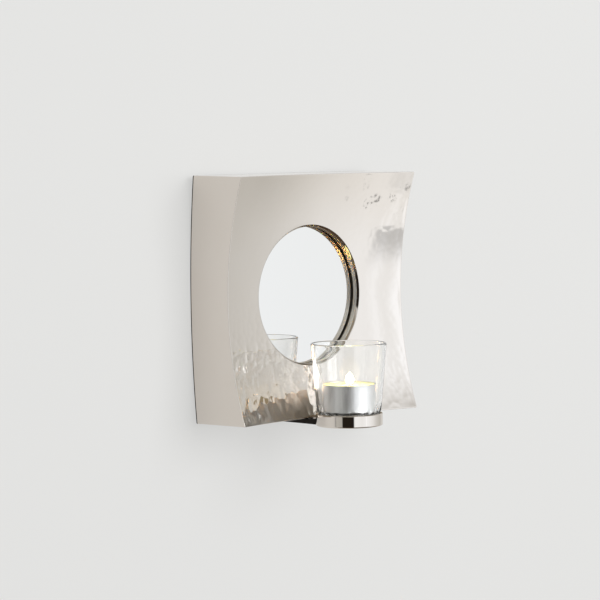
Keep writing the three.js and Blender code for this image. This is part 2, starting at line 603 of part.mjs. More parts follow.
const sustainerProfile = closed([[WICK_HOLE, WAX_BOTTOM], [SUSTAINER_RADIUS, WAX_BOTTOM],
  [SUSTAINER_RADIUS, sustainerTop], [SUSTAINER_NECK_RADIUS, sustainerTop], [SUSTAINER_NECK_RADIUS, neckTop],
  [WICK_HOLE, neckTop]]);
place('wick_sustainer', turned(sustainerProfile, SMALL_ROUND), plainSteel, cup);

const wickTop = WAX_TOP + WICK_RISE;
const wickPath = new THREE.CatmullRomCurve3([
  new THREE.Vector3(0, 0, WAX_BOTTOM), new THREE.Vector3(0, 0, neckTop), new THREE.Vector3(0, 0, WAX_TOP),
  new THREE.Vector3(WICK_BEND / 3, 0, wickTop - WICK_RISE / 2), new THREE.Vector3(WICK_BEND, 0, wickTop),
]);
const wickSection = new THREE.Shape(Array.from({ length: WICK_SIDES }, (_, k) => new THREE.Vector2(
  WICK_RADIUS * Math.cos(2 * Math.PI * k / WICK_SIDES), WICK_RADIUS * Math.sin(2 * Math.PI * k / WICK_SIDES),
)));
place('wick', new THREE.ExtrudeGeometry(wickSection, {
  steps: WICK_STEPS, extrudePath: wickPath, bevelEnabled: false,
}), cotton, cup);

export default sconce;
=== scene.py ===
"""A square wall sconce of hammered nickel, dressed over its CAD frame.

The wall is the plane y = 0, the face looks along -Y and +Z is up.
A depth is a distance from the wall towards the viewer, so a point at depth d has y = -d.
"""

import math
import typing

import bpy
import numpy as np
from mathutils import Matrix, Vector


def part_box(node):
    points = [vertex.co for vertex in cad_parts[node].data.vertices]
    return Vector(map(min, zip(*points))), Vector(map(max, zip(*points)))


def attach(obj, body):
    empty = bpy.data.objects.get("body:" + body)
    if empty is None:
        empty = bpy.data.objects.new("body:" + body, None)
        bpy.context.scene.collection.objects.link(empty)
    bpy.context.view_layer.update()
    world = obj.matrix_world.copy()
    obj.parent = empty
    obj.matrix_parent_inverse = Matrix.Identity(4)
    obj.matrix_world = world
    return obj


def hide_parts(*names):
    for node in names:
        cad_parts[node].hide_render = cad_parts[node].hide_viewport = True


bl_info = {
    "name": "Hammered wall sconce",
    "version": (1, 0, 0),
    "blender": (4, 5, 0),
    "location": "View3D > Sidebar > Sconce",
    "description": "Dresses a mirror sconce and its votive glass over the CAD frame",
    "category": "Object",
}

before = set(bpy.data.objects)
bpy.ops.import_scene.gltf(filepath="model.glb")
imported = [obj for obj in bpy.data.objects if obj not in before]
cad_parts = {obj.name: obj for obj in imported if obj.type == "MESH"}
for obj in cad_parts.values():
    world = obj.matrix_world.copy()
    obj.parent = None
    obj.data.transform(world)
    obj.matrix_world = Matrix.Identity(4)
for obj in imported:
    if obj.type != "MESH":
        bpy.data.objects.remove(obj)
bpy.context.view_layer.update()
MM = 0.001

# Places that come from the frame
RING_LOW, RING_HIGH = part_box("cup_ring")
GLASS_LOW, GLASS_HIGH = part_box("glass_cup")
TIN_LOW, TIN_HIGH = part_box("tealight_tin")
WAX_LOW, WAX_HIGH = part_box("tealight_wax")
WICK_LOW, WICK_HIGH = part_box("wick")
MIRROR_LOW, MIRROR_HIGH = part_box("mirror_disc")
ARM_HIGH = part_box("candle_arm")[1]
COLLAR_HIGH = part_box("opening_collar")[1]
CUP_Y = (RING_LOW.y + RING_HIGH.y) / 2
FLAME_FOOT = WAX_HIGH.z + 0.7 * MM

# Fineness of the grids
SIDE_COLUMNS = 182
CORNER_COLUMNS = 8
FACE_ROWS = 84
INNER_FACE_ROWS = 8
FOLD_ROWS = 6
PANEL_ROWS = 8
COLLAR_COLUMNS = 288
WALL_ROWS = 96
LIP_ROWS = 12
CUP_COLUMNS = 160
RING_COLUMNS = 320
ARC_STEPS = 10
POOL_STEPS = 40
WICK_ROWS = 60
WICK_COLUMNS = 24
FLAME_STEPS = 40

# Hammer marks: a table of random places, and how sharply and how far one mark meets the next
DENT_SEED = 11
DENT_TABLE = 64
DENT_SHARPNESS = 9.0
DENT_SPAN = 0.35
HOLE_FADE = 2 * MM
EDGE_FADE = 3 * MM

# Zones of the face over which the marks grow, as shares of the half side from the middle
RIGHT_ZONE = (0.2, 0.6)
LOW_ZONE = (-0.1, 0.5)
OVER_FOOT_ZONE = (-0.75, -0.4)
UPPER_ZONE = (0.2, 0.4)
CRISP_LEFT_ZONE = (0.5, 0.75)
CRISP_LOW_ZONE = (0.36, 0.48)
CRISP_FOOT_ZONE = (-0.66, -0.54)
BROAD_LEFT_ZONE = (0.0, 0.3)
BROAD_LOW_ZONE = (0.28, 0.5)

# Strength of the marks in those zones, and how much calmer the right side is
PLAIN_MARKS = 0.08
WORKED_MARKS = 0.92
CRISP_MARKS = 2.2
UPPER_RIGHT_MARKS = 0.15
RIGHT_CALM = 0.6
OVER_FOOT_CALM = 0.85

# Slow waves of the face: radians for each metre across and up, and the start
SLOW_WAVES = ((95, 60, 0.0), (-50, 120, 1.3), (150, 140, 2.1))

# Rows across the strip at the rear edge that is painted near-black as shade, as shares of its width
SHADE_STRIP_SHARES = np.array([0.1, 0.55, 1.0])

# Collar: the share of its wall over which the turned lines fade, the curve of its rim, and how strongly its
# rebate is dulled and painted near-black as shade
LINE_FADE = 0.1
LIP_CURVE = 1.15
REBATE_SHADE = 0.85

# Half the number of flutes round the foot of the glass
HALF_FLUTES = 9.5

# Waves round the glass: the weight of each, its number in a turn and its start in radians
FLUTE_SPACING = ((0.7, 3, 0.0),)
FLUTE_DEPTHS = ((0.4, 5, 1.0),)
FLOOR_WAVES = ((1.0, 7, 1.0), (1.0, 13, 2.4), (0.8, 23, 0.5))

# Light of the flame from foot to body, of the veil from low to high, and what is left of it when mirrored
# once and twice.
# Light mirrored twice is made stronger, the veil's rear many times, as a painted glint in the turned collar
FLAME_STRENGTH = (6.0, 22.0)
VEIL_STRENGTH = (1.9, 0.9)
FLAME_ONCE = 0.012
FLAME_TWICE = 0.3
VEIL_TWICE = 700.0
FLAME_LEAN = 0.8 * MM

# Stage: the wall, the lamp and the camera
WALL_GAP = 0.2 * MM
WALL_SIDES = (-4.0, 4.0)
WALL_ENDS = (-1.2, 3.0)
WALL_OWN_LIGHT = 0.66
LAMP_PLACE = (0.6, -2.0, 0.65)
LAMP_SIZE = 1.6
LAMP_POWER = 29.0
CAMERA_YAW = math.radians(44.15)
CAMERA_PITCH = math.radians(3.59)
CAMERA_ROLL = math.radians(-0.73)
CAMERA_TARGET = Vector((-18.76, -40.0, -2.33)) * MM
CAMERA_DISTANCE = 1977.8 * MM
SENSOR_WIDTH = 36.0
FOCAL_LENGTH = 165.34

# Colours of the room, as linear red, green and blue
EVEN_LIGHT = (0.9, 0.9, 0.89)
BACKDROP = (0.80, 0.80, 0.79)
DAYLIGHT = (1.0, 1.052, 1.115)
LOW_DAYLIGHT = (0.94, 0.965, 0.985)
CEILING = (0.27, 0.25, 0.205)
FLOOR = (0.075, 0.05, 0.032)
DARKEST = (0.018, 0.013, 0.009)

# How strongly polished metal and glass show the room, and how much green and blue it loses as it gets darker
ROOM_STRENGTH = 1.225
GREEN_LOSS = 0.09
BLUE_LOSS = 0.25


class RoomPart(typing.NamedTuple):
    """A part of the room that the metal mirrors: its ranges of angles and their blurs in degrees, and the
    share of light that it takes. A share below nought adds light."""

    azimuth: tuple
    elevation: tuple
    side_blur: tuple
    end_blur: tuple
    share: float


# How bright the room is to each side. Angles are in degrees from straight ahead, and to the right
ROOM_LEVELS = (
    (-180, 0.85), (-140, 0.85), (-110, 0.70), (-90, 0.50), (-60, 0.40), (-40, 0.68), (-22, 0.98), (0, 0.93),
    (14, 0.99), (17.6, 1.12), (18.6, 1.06), (19.5, 0.985), (20.5, 0.94), (22.3, 0.915), (22.9, 1.03),
    (24.2, 1.025), (25.3, 0.98), (27, 0.945), (29, 0.965), (36, 0.915), (45, 0.85), (60, 0.675), (78, 0.565),
    (95, 0.52), (130, 0.62), (180, 0.78),
)
DOORWAY = RoomPart((-69, -29), (-40, 17), (2, 2), (4, 2), 0.985)
FAR_CORNER = RoomPart((-100, -54), (9, 70), (5, 4), (3, 5), 0.2)
BENCH = RoomPart((9.5, 26.3), (-18.95, -12.8), (3, 1.5), (0.4, 4.5), 0.34)
HIGH_WINDOW = RoomPart((-20, 10), (9, 44), (4, 8), (4, 4), -0.12)
LEFT_STEP = RoomPart((62, 74), (-34, -19), (5, 4), (2, 4), 0.06)
RIGHT_STEP = RoomPart((18, 29), (-36, -28.3), (3, 3), (2, 1), 0.12)
FIRST_SPECK = RoomPart((22.6, 23.5), (-29.7, -28.9), (0.3, 0.3), (0.3, 0.3), 0.9)
SECOND_SPECK = RoomPart((29.9, 30.8), (-26.0, -25.1), (0.3, 0.3), (0.3, 0.3), 0.9)
ROOM_PARTS = (DOORWAY, FAR_CORNER, BENCH, HIGH_WINDOW, LEFT_STEP, RIGHT_STEP, FIRST_SPECK, SECOND_SPECK)

# Where the ceiling gives way to the high window, and where small things lie on the floor
CEILING_GAP = RoomPart((-24, 4), (-90, 46), (4, 8), (1, 4), 0.75)
SPECK_FIELD = RoomPart((21, 42), (-31, -22.5), (2, 3), (1, 1), 0.95)


def length(name, description, millimetres):
    """A size in the panel, given here in millimetres."""
    return bpy.props.FloatProperty(
        name=name, description=description, default=millimetres * MM, unit="LENGTH", subtype="DISTANCE"
    )


def tint(name, description, default):
    """A colour in the panel, as linear red, green and blue."""
    return bpy.props.FloatVectorProperty(
        name=name, description=description, default=default, size=3, min=0.0, max=1.0, subtype="COLOR"
    )


class PlateSizes(bpy.types.PropertyGroup):
    """Sizes of the dished face and its folded sides."""

    side: length("Side", "Width and height of the plate", 175)
    corner_depth: length("Corner depth", "Distance of the front corners from the wall", 54)
    side_bow: length("Side bow", "How far the left and right edges fall back at mid height", 15.5)
    top_bow: length("Top bow", "How far the top and bottom edges fall back at mid width", 11.5)
    back_arch: length("Back arch", "How far the rear corners stand off the wall", 4.4)
    draft: length("Draft", "How much wider the plate is at the wall", 0.8)
    sheet: length("Sheet", "Thickness of the metal", 1.2)
    fold: length("Fold radius", "Rounding between the face and the sides", 0.35)
    corner: length("Corner radius", "Rounding of the upright corners", 0.8)
    # The strip along the rear edge is painted near-black: painted shade for the gap between the shell and
    # the wall
    shade_strip: length("Raw edge", "Width of the unpolished strip along the rear edge", 0.9)
    dent_pitch: length("Mark pitch", "Distance between hammer marks", 4.6)
    dent_depth: length("Mark depth", "Height of the ridge between hammer marks", 0.075)
    broad_pitch: length("Broad mark pitch", "Distance between the broad marks at the lower left", 7.4)
    broad_depth: length("Broad mark depth", "Height of the ridge between the broad marks", 0.12)
    wave: length("Unevenness", "Slow waves left by hand work", 0.06)


class CollarSizes(bpy.types.PropertyGroup):
    """Sizes of the turned collar in the round opening."""

    bore: length("Bore", "Radius of the opening inside the collar", 49.75)
    wall: length("Wall", "Thickness of the collar", 1.25)
    rim_fall: length("Rim fall", "How far the front rim slopes back towards the opening", 1.36)
    gap: length("Gap", "Space between the collar and the face", 0.1)
    flange: length("Flange", "Thickness of the flange behind the face", 1.5)
    rebate_depth: length("Rebate depth", "How far the rebate by the mirror is cut in", 0.9)
    rebate_width: length("Rebate width", "Width of that rebate", 1.4)
    line_depth: length("Line depth", "Depth of the fine turned lines", 0.06)
    line_pitch: length("Line pitch", "Distance between the turned lines", 0.85)


class CupSizes(bpy.types.PropertyGroup):
    """Sizes of the ring, the glass and the tealight."""

    ring_wall: length("Ring wall", "Thickness of the ring that holds the glass", 1.6)
    foot_clearance: length("Foot clearance", "Space between the ring and the foot of the glass", 0.8)
    notch_gap: length("Notch gap", "Space between the ring's notch and the arm", 0.3)
    arm_width: length("Arm width", "Width of the flat arm under the plate", 24)
    glass_wall: length("Glass wall", "Thickness of the glass near its foot", 2.4)
    rim_wall: length("Rim wall", "Thickness of the glass at its rim", 1.6)
    glass_base: length("Glass base", "Thickness of the glass under the tealight", 6.8)
    shoulder: length("Shoulder", "How far the glass widens just above the ring", 1.85)
    shoulder_rise: length("Shoulder rise", "Height of that widening", 3)
    punt: length("Punt", "Hollow under the base", 1)
    edge: length("Edge", "Rounding inside and outside the base", 1.5)
    flute: length("Flute", "Depth of the flutes pressed round the foot of the glass", 1.3)
    ripple: length("Ripple", "Mean depth of the ripples round the floor of the glass", 0.4)
    tin_wall: length("Tin wall", "Thickness of the tin", 0.4)
    tin_taper: length("Tin taper", "How much narrower the tin is at its foot", 0.4)
    tin_bead: length("Tin bead", "Rolled bead round the top of the tin", 0.25)
    wax_pool: length("Wax pool", "Depth of the melted pool", 0.5)
    wick_radius: length("Wick radius", "Half the thickness of the wick", 0.52)
    wick_lean: length("Wick lean", "How far the tip of the wick leans over", 1.5)
    flame_height: length("Flame height", "Height of the flame", 8.6)
    flame_radius: length("Flame radius", "Half the width of the flame", 3.1)
    veil_scale: bpy.props.FloatProperty(
        name="Veil", description="Size of the faint veil of light round the flame, in flames", default=2.4
    )


class SconceTints(bpy.types.PropertyGroup):
    """Colours of the finishes."""

    nickel: tint("Nickel", "Polished nickel", (0.730, 0.676, 0.622))
    nickel_warm: tint("Warm nickel", "Nickel where the polish is thinner", (0.710, 0.652, 0.593))
    satin: tint("Satin nickel", "Nickel that is turned and not polished", (0.84, 0.81, 0.75))
    # A darker, browner tone that the turned collar takes towards its top
    top_brown: tint("Soot", "Turned nickel above the candle", (0.42, 0.32, 0.21))
    # Near-black painted shade, not the metal's own colour: it stands in for the shade at the shell's rear
    # edge, in the collar's rebate and on the arm's sides
    raw: tint("Raw metal", "Unpolished edges", (0.03, 0.026, 0.022))
    mirror: tint("Mirror", "Silvered glass", (0.803, 0.784, 0.757))
    glass: tint("Glass", "Clear glass", (0.996, 0.999, 0.997))
    glass_shadow: tint("Glass shadow", "Light that passes through the glass", (0.95, 0.96, 0.955))
    foil: tint("Foil", "Drawn aluminium", (0.82, 0.81, 0.795))
    wax_glow: tint("Wax glow", "Light of the flame inside the wax", (1.0, 0.94, 0.25))
    wax: tint("Wax", "Candle wax", (0.95, 0.91, 0.62))
    char: tint("Char", "Burnt wick", (0.02, 0.016, 0.012))
    cotton: tint("Cotton", "Wick below the flame", (0.35, 0.28, 0.2))
    flame_foot: tint("Flame foot", "Light at the foot of the flame", (0.25, 0.35, 0.9))
    flame_body: tint("Flame body", "Light of the middle of the flame", (1.0, 0.86, 0.55))
    flame: tint("Flame", "Light of the flame towards its tip", (1.0, 0.72, 0.36))
    veil: tint("Veil", "Faint light round the flame", (1.0, 0.88, 0.68))
    # Colour of a painted glint: flame and veil light that shows only after two mirrorings, as gold in the
    # turned collar
    painted_glint: tint("Ember", "Light of the flame as the turned metal takes it up", (1.0, 0.52, 0.17))
    board: tint("Board", "Black stained board", (0.016, 0.014, 0.012))
    hardboard: tint("Hardboard", "Raw hardboard", (0.2, 0.15, 0.105))
    steel: tint("Steel", "Zinc-plated steel", (0.5, 0.5, 0.49))
    brass: tint("Brass", "Sawn brass", (0.5, 0.36, 0.16))
    wall: tint("Wall", "Painted wall", (0.84, 0.84, 0.828))


# Meshes


def grid_quads(rows, columns, closed):
    """Quads of a grid whose columns go round, and whose last row joins the first where closed is set."""
    row, column = np.meshgrid(np.arange(rows if closed else rows - 1), np.arange(columns), indexing="ij")
    row_next = (row + 1) % rows
    column_next = (column + 1) % columns
    corners_of = [
        row * columns + column,
        row * columns + column_next,
        row_next * columns + column_next,
        row_next * columns + column,
    ]
    return np.stack(corners_of, axis=-1).reshape(-1, 4)


def pole_triangles(pole, first, columns, flip):
    """Triangles from one pole point to the row of points that starts at first."""
    here = np.arange(columns)
    there = (here + 1) % columns
    fan = [np.full(columns, pole), first + there, first + here]
    if flip:
        fan = [fan[0], fan[2], fan[1]]
    return np.stack(fan, axis=-1)


def volume(points, triangles):
    """Signed volume: a sixth of the triple product of each triangle's corners, summed."""
    a, b, c = (points[triangles[:, k]] for k in range(3))
    return np.einsum("ij,ij->i", a, np.cross(b, c)).sum() / 6


def piece(name, points, quads, triangles, material, sharp=40.0, marks=None):
    """An object from points and faces, turned so that its faces point out. Marks are numbers for each
    point that the finish reads: a rougher polish and near-black painted shade where shade falls in gaps
    and recesses, satin where it is turned and not polished."""
    halves = np.concatenate([quads[:, [0, 1, 2]], quads[:, [0, 2, 3]], triangles])
    if volume(points, halves) < 0:
        quads = quads[:, ::-1]
        triangles = triangles[:, ::-1]
    mesh = bpy.data.meshes.new(name)
    mesh.from_pydata(points.tolist(), [], quads.tolist() + triangles.tolist())
    mesh.update()
    mesh.shade_smooth()
    mesh.set_sharp_from_angle(angle=math.radians(sharp))
    mesh.materials.append(material)
    for key, values in (marks or {}).items():
        mark = mesh.attributes.new(key, "FLOAT", "POINT")
        mark.data.foreach_set("value", values.astype(np.float32).ravel())
    return linked(name, mesh)


def linked(name, data):
    """A new object in the scene."""
    made = bpy.data.objects.new(name, data)
    bpy.context.scene.collection.objects.link(made)
    return made


def ring_piece(name, rows, material, sharp=40.0, marks=None):
    """A closed body from an array of rows, each a closed loop, with the last row joined to the first.
    Each mark is one number for each row."""
    quads = grid_quads(rows.shape[0], rows.shape[1], True)
    no_triangles = np.zeros((0, 3), int)
    marks = {key: np.repeat(values, rows.shape[1]) for key, values in (marks or {}).items()}
    return piece(name, rows.reshape(-1, 3), quads, no_triangles, material, sharp, marks)


def capped_piece(name, rows, material, sharp=40.0):
    """A closed body from an array of rows whose first and last rows are single points, the poles."""
    inner = rows[1:-1]
    columns = rows.shape[1]
    points = np.concatenate([inner.reshape(-1, 3), rows[0, :1], rows[-1, :1]])
    count = inner.shape[0] * columns
    triangles = np.concatenate([
        pole_triangles(count, 0, columns, False),
        pole_triangles(count + 1, count - columns, columns, True),
    ])
    return piece(name, points, grid_quads(inner.shape[0], columns, False), triangles, material, sharp)


def turns(count):
    """Angles that divide a full turn into equal steps."""
    return np.arange(count) * 2 * math.pi / count


def waves(turn, terms):
    """A sum of sines round a turn, each with its weight, its number in a turn and its start."""
    return sum(weight * np.sin(count * turn + start) for weight, count, start in terms)


def turned(profile, columns):
    """Rows of a surface of revolution: each (radius, height) goes once round the cup's upright axis."""
    turn = turns(columns)
    radius = profile[:, :1]
    x = radius * np.cos(turn)
    y = CUP_Y + radius * np.sin(turn)
    z = np.broadcast_to(profile[:, 1:], x.shape)
    return np.stack([x, y, z], axis=-1)


def faced(radius, depth, turn):
    """Rows round the axis of the opening: each radius and depth goes once round it."""
    x = radius * np.cos(turn)
    y = np.broadcast_to(-depth, x.shape)
    return np.stack([x, y, radius * np.sin(turn)], axis=-1)


def arc(radius, height, across, up, start, end, steps=ARC_STEPS):
    """Points of an ellipse's arc in a profile, about (radius, height), between two angles in degrees."""
    turn = np.radians(np.linspace(start, end, steps + 1))
    return np.stack([radius + across * np.cos(turn), height + up * np.sin(turn)], axis=-1)


def line(start, end, steps):
    """Points of a straight stretch of a profile in equal steps, without its ends."""
    share = np.linspace(0, 1, steps + 1)[1:-1, None]
    return (1 - share) * np.array(start) + share * np.array(end)


def corners(*points):
    """Single points of a profile."""
    return np.array(points, float)


def smooth(value, low, high):
    """Nought below low, one above high, and an eased rise between them."""
    share = np.clip((value - low) / (high - low), 0, 1)
    return share * share * (3 - 2 * share)


def dress(made, body, nodes):
    """Ties a piece to the body it moves with, and hides the CAD nodes it stands for."""
    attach(made, body)
    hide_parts(*nodes)


# Shape of the face


def face_depth(plate, x, z):
    """Depth of the bowl: the corner depth, less each bow times one minus the half side's share squared."""
    half = plate.side / 2
    fallen = plate.top_bow * (1 - (x / half) ** 2) + plate.side_bow * (1 - (z / half) ** 2)
    return plate.corner_depth - fallen


def dimples(x, z, pitch):
    """The squared distance to the nearest point of a jittered grid, in steps of the pitch, eased where
    two cells meet, so that each cell is a shallow cup with a low ridge round it."""
    across = x / pitch
    along = z / pitch
    cell_across = np.floor(across).astype(int)
    cell_along = np.floor(along).astype(int)
    jitter = np.random.default_rng(DENT_SEED).random((DENT_TABLE, DENT_TABLE, 2))
    near = np.zeros_like(x)
    for step_across in range(-2, 3):
        for step_along in range(-2, 3):
            place = jitter[(cell_across + step_across) % DENT_TABLE, (cell_along + step_along) % DENT_TABLE]
            gap_across = cell_across + step_across + place[..., 0] - across
            gap_along = cell_along + step_along + place[..., 1] - along
            near += np.exp(-DENT_SHARPNESS * (gap_across**2 + gap_along**2))
    height = -np.log(near) / DENT_SHARPNESS / DENT_SPAN
    return height - height.mean()


def hammer_marks(plate, x, z):
    """Height of the marks: fine dimples, strong at the foot, crisp in a patch at the lower left and faint
    elsewhere, plus broad dimples at the lower left, plus the mean of three slow sines."""
    across = 2 * x / plate.side
    up = 2 * z / plate.side
    right = smooth(across, *RIGHT_ZONE)
    calm = (1 - OVER_FOOT_CALM * right * smooth(up, *OVER_FOOT_ZONE)) * (1 - RIGHT_CALM * right)
    low = smooth(-up, *LOW_ZONE) * calm
    worked = np.maximum(low, UPPER_RIGHT_MARKS * right * smooth(up, *UPPER_ZONE))
    crisp = smooth(-across, *CRISP_LEFT_ZONE) * smooth(-up, *CRISP_LOW_ZONE) * smooth(up, *CRISP_FOOT_ZONE)
    strength = PLAIN_MARKS + WORKED_MARKS * worked + CRISP_MARKS * crisp
    fine = plate.dent_depth * strength * dimples(x, z, plate.dent_pitch)
    low_left = smooth(-across, *BROAD_LEFT_ZONE) * smooth(-up, *BROAD_LOW_ZONE)
    broad = plate.broad_depth * low_left * dimples(x, z, plate.broad_pitch)
    slow = sum(np.sin(x * turn_across + z * turn_up + start) for turn_across, turn_up, start in SLOW_WAVES)
    return fine + broad + plate.wave * slow / len(SLOW_WAVES)


def square_units():
    """Points round a square with rounded corners, as shares of the straight half side and of the corner
    radius: across and up for the one, then across and up for the other."""
    along = np.linspace(-1, 1, SIDE_COLUMNS)
    turn = np.linspace(0, math.pi / 2, CORNER_COLUMNS + 2)[1:-1]
    side = np.stack([np.ones_like(along), along, np.ones_like(along), np.zeros_like(along)])
    corner = np.stack([np.ones_like(turn), np.ones_like(turn), np.cos(turn), np.sin(turn)])
    quarter = np.concatenate([side, corner], axis=1)
    quarters = [quarter]
    for _ in range(3):
        x, z, round_x, round_z = quarters[-1]
        quarters.append(np.stack([-z, x, -round_z, round_x]))
    return np.concatenate(quarters, axis=1)


def square_loop(half, radius):
    """Across and up of a square with rounded corners. A column of half sides gives one row for each."""
    x, z, round_x, round_z = square_units()
    straight = half - radius
    return straight * x + radius * round_x, straight * z + radius * round_z


def leaned(plate, x, z, depth, share):
    """Points of the shell, moved outwards towards the wall by the draft."""
    factor = 1 + share * plate.draft * (1 - depth / plate.corner_depth) / (plate.side / 2)
    return np.stack([x * factor, -depth, z * factor], axis=-1)


def shell_skin(plate, hole, inset, face_rows, hammered):
    """Rows of one skin of the shell: rings that go from the round hole to the square edge over the bowl,
    then a quarter round for the fold, then straight back to the rear edge, which arches away from the
    wall at the corners. With them comes a mark for each row: the strip at the rear edge is marked for a
    rougher polish and near-black painted shade, the shade of the gap at the wall."""
    half_side = plate.side / 2
    shrink = 1 - inset / (plate.fold + plate.sheet)
    fold = plate.fold * shrink
    corner = plate.corner * shrink
    half = half_side - inset

    edge_x, edge_z = square_loop(half - fold, corner)
    share = np.linspace(0, 1, face_rows, endpoint=False)[:, None]
    scale = (1 - share) * hole / np.hypot(edge_x, edge_z) + share
    x = edge_x * scale
    z = edge_z * scale
    depth = face_depth(plate, x, z) - inset
    if hammered:
        from_hole = np.hypot(x, z) - hole
        from_edge = half - fold - np.maximum(np.abs(x), np.abs(z))
        fade = smooth(from_hole, 0, HOLE_FADE) * smooth(from_edge, 0, EDGE_FADE)
        depth = depth + fade * hammer_marks(plate, x, z)
    face = leaned(plate, x, z, depth, share)

    turn = np.linspace(0, math.pi / 2, FOLD_ROWS)[:, None]
    x, z = square_loop(half - fold * (1 - np.sin(turn)), corner)
    bend = leaned(plate, x, z, face_depth(plate, x, z) - inset - fold * (1 - np.cos(turn)), 1)

    x, z = square_loop(half, corner)
    front = face_depth(plate, x, z) - inset - fold
    rear = plate.back_arch * np.minimum(np.minimum(np.abs(x), np.abs(z)) / half_side, 1) ** 2
    share = np.linspace(0, 1, PANEL_ROWS + 1)[1:, None]
    depth = front + share * (rear + plate.shade_strip - front)
    depth = np.concatenate([depth, rear + plate.shade_strip * (1 - SHADE_STRIP_SHARES[:, None])])
    x = np.broadcast_to(x, depth.shape)
    z = np.broadcast_to(z, depth.shape)
    panel = leaned(plate, x, z, depth, 1)
    rows = np.concatenate([face, bend, panel])
    dull_and_painted_shade = np.zeros(len(rows))
    dull_and_painted_shade[-len(SHADE_STRIP_SHARES):] = 1
    return rows, dull_and_painted_shade


# Shader nodes


def node(tree, kind, inputs=None, **settings):
    """A shader node with its settings. Each input is a value, or is linked to another node's output."""
    made = tree.nodes.new("ShaderNode" + kind)
    for key, value in settings.items():
        setattr(made, key, value)
    connect(tree, made, inputs or {})
    return made


def connect(tree, made, inputs):
    """Sets each named input of a node to a value, or links it to another node's output."""
    for key, value in inputs.items():
        if isinstance(value, bpy.types.NodeSocket):
            tree.links.new(value, made.inputs[key])
        else:
            made.inputs[key].default_value = value


def finish(name, **values):
    """A material, its node tree, its main shader with the given constants, and its object coordinates."""
    made = bpy.data.materials.new(name)
    made.use_nodes = True
    tree = made.node_tree
    shader = tree.nodes["Principled BSDF"]
    for key, value in values.items():
        shader.inputs[key.replace("_", " ").title().replace("Ior", "IOR")].default_value = value
    place = tree.nodes.new("ShaderNodeTexCoord").outputs["Object"]
    return made, tree, shader, place


def opaque(colour):
    """A colour with its opacity."""
    return (colour[0], colour[1], colour[2], 1.0)


def scaled(colour, factor):
    """A colour made darker or paler by a factor, and at most white."""
    return [min(1.0, channel * factor) for channel in colour]


def axis_of(tree, place, axis):
    """One coordinate of a place."""
    return node(tree, "SeparateXYZ", {"Vector": place}).outputs[axis]


def stretched(tree, place, scale):
    """Object coordinates stretched by a factor along each axis."""
    return node(tree, "Mapping", {"Vector": place, "Scale": scale}).outputs["Vector"]


def cloud(tree, place, scale, detail=3.0, roughness=0.5):
    """Soft noise, from 0 to 1."""
    inputs = {"Vector": place, "Scale": scale, "Detail": detail, "Roughness": roughness}
    return node(tree, "TexNoise", inputs).outputs["Fac"]


def spread(tree, value, span, reached=(0.0, 1.0), ease=False):
    """A value moved from the range of its span to another range, and held there."""
    inputs = {
        "Value": value, "From Min": span[0], "From Max": span[1], "To Min": reached[0], "To Max": reached[1],
    }
    kind = "SMOOTHSTEP" if ease else "LINEAR"
    return node(tree, "MapRange", inputs, interpolation_type=kind).outputs["Result"]


def mixed(tree, share, first, second, blend="MIX"):
    """A colour between two, each of which is a colour or another node's output."""
    ends = [end if isinstance(end, bpy.types.NodeSocket) else opaque(end) for end in (first, second)]
    made = node(tree, "Mix", {0: share, 6: ends[0], 7: ends[1]}, data_type="RGBA", blend_type=blend)
    return made.outputs[2]


def either(tree, share, first, second):
    """A shader that is the second one by the given share, and otherwise the first."""
    return node(tree, "MixShader", {0: share, 1: first, 2: second}).outputs[0]


def maths(tree, operation, first, second=0.0):
    """One operation on two numbers."""
    return node(tree, "Math", {0: first, 1: second}, operation=operation).outputs[0]


def product(tree, first, *others):
    """Numbers multiplied by each other."""
    for other in others:
        first = maths(tree, "MULTIPLY", first, other)
    return first


def roughen(tree, shader, height, strength, distance):
    """Fine relief on the shader's normal."""
    relief = node(tree, "Bump", {"Height": height, "Strength": strength, "Distance": distance})
    connect(tree, shader, {"Normal": relief.outputs["Normal"]})


def show(tree, surface):
    """Makes a shader the surface of the material or the world."""
    output = next(made for made in tree.nodes if made.bl_idname.startswith("ShaderNodeOutput"))
    connect(tree, output, {"Surface": surface})


# Finishes. Grains are in cells for each metre


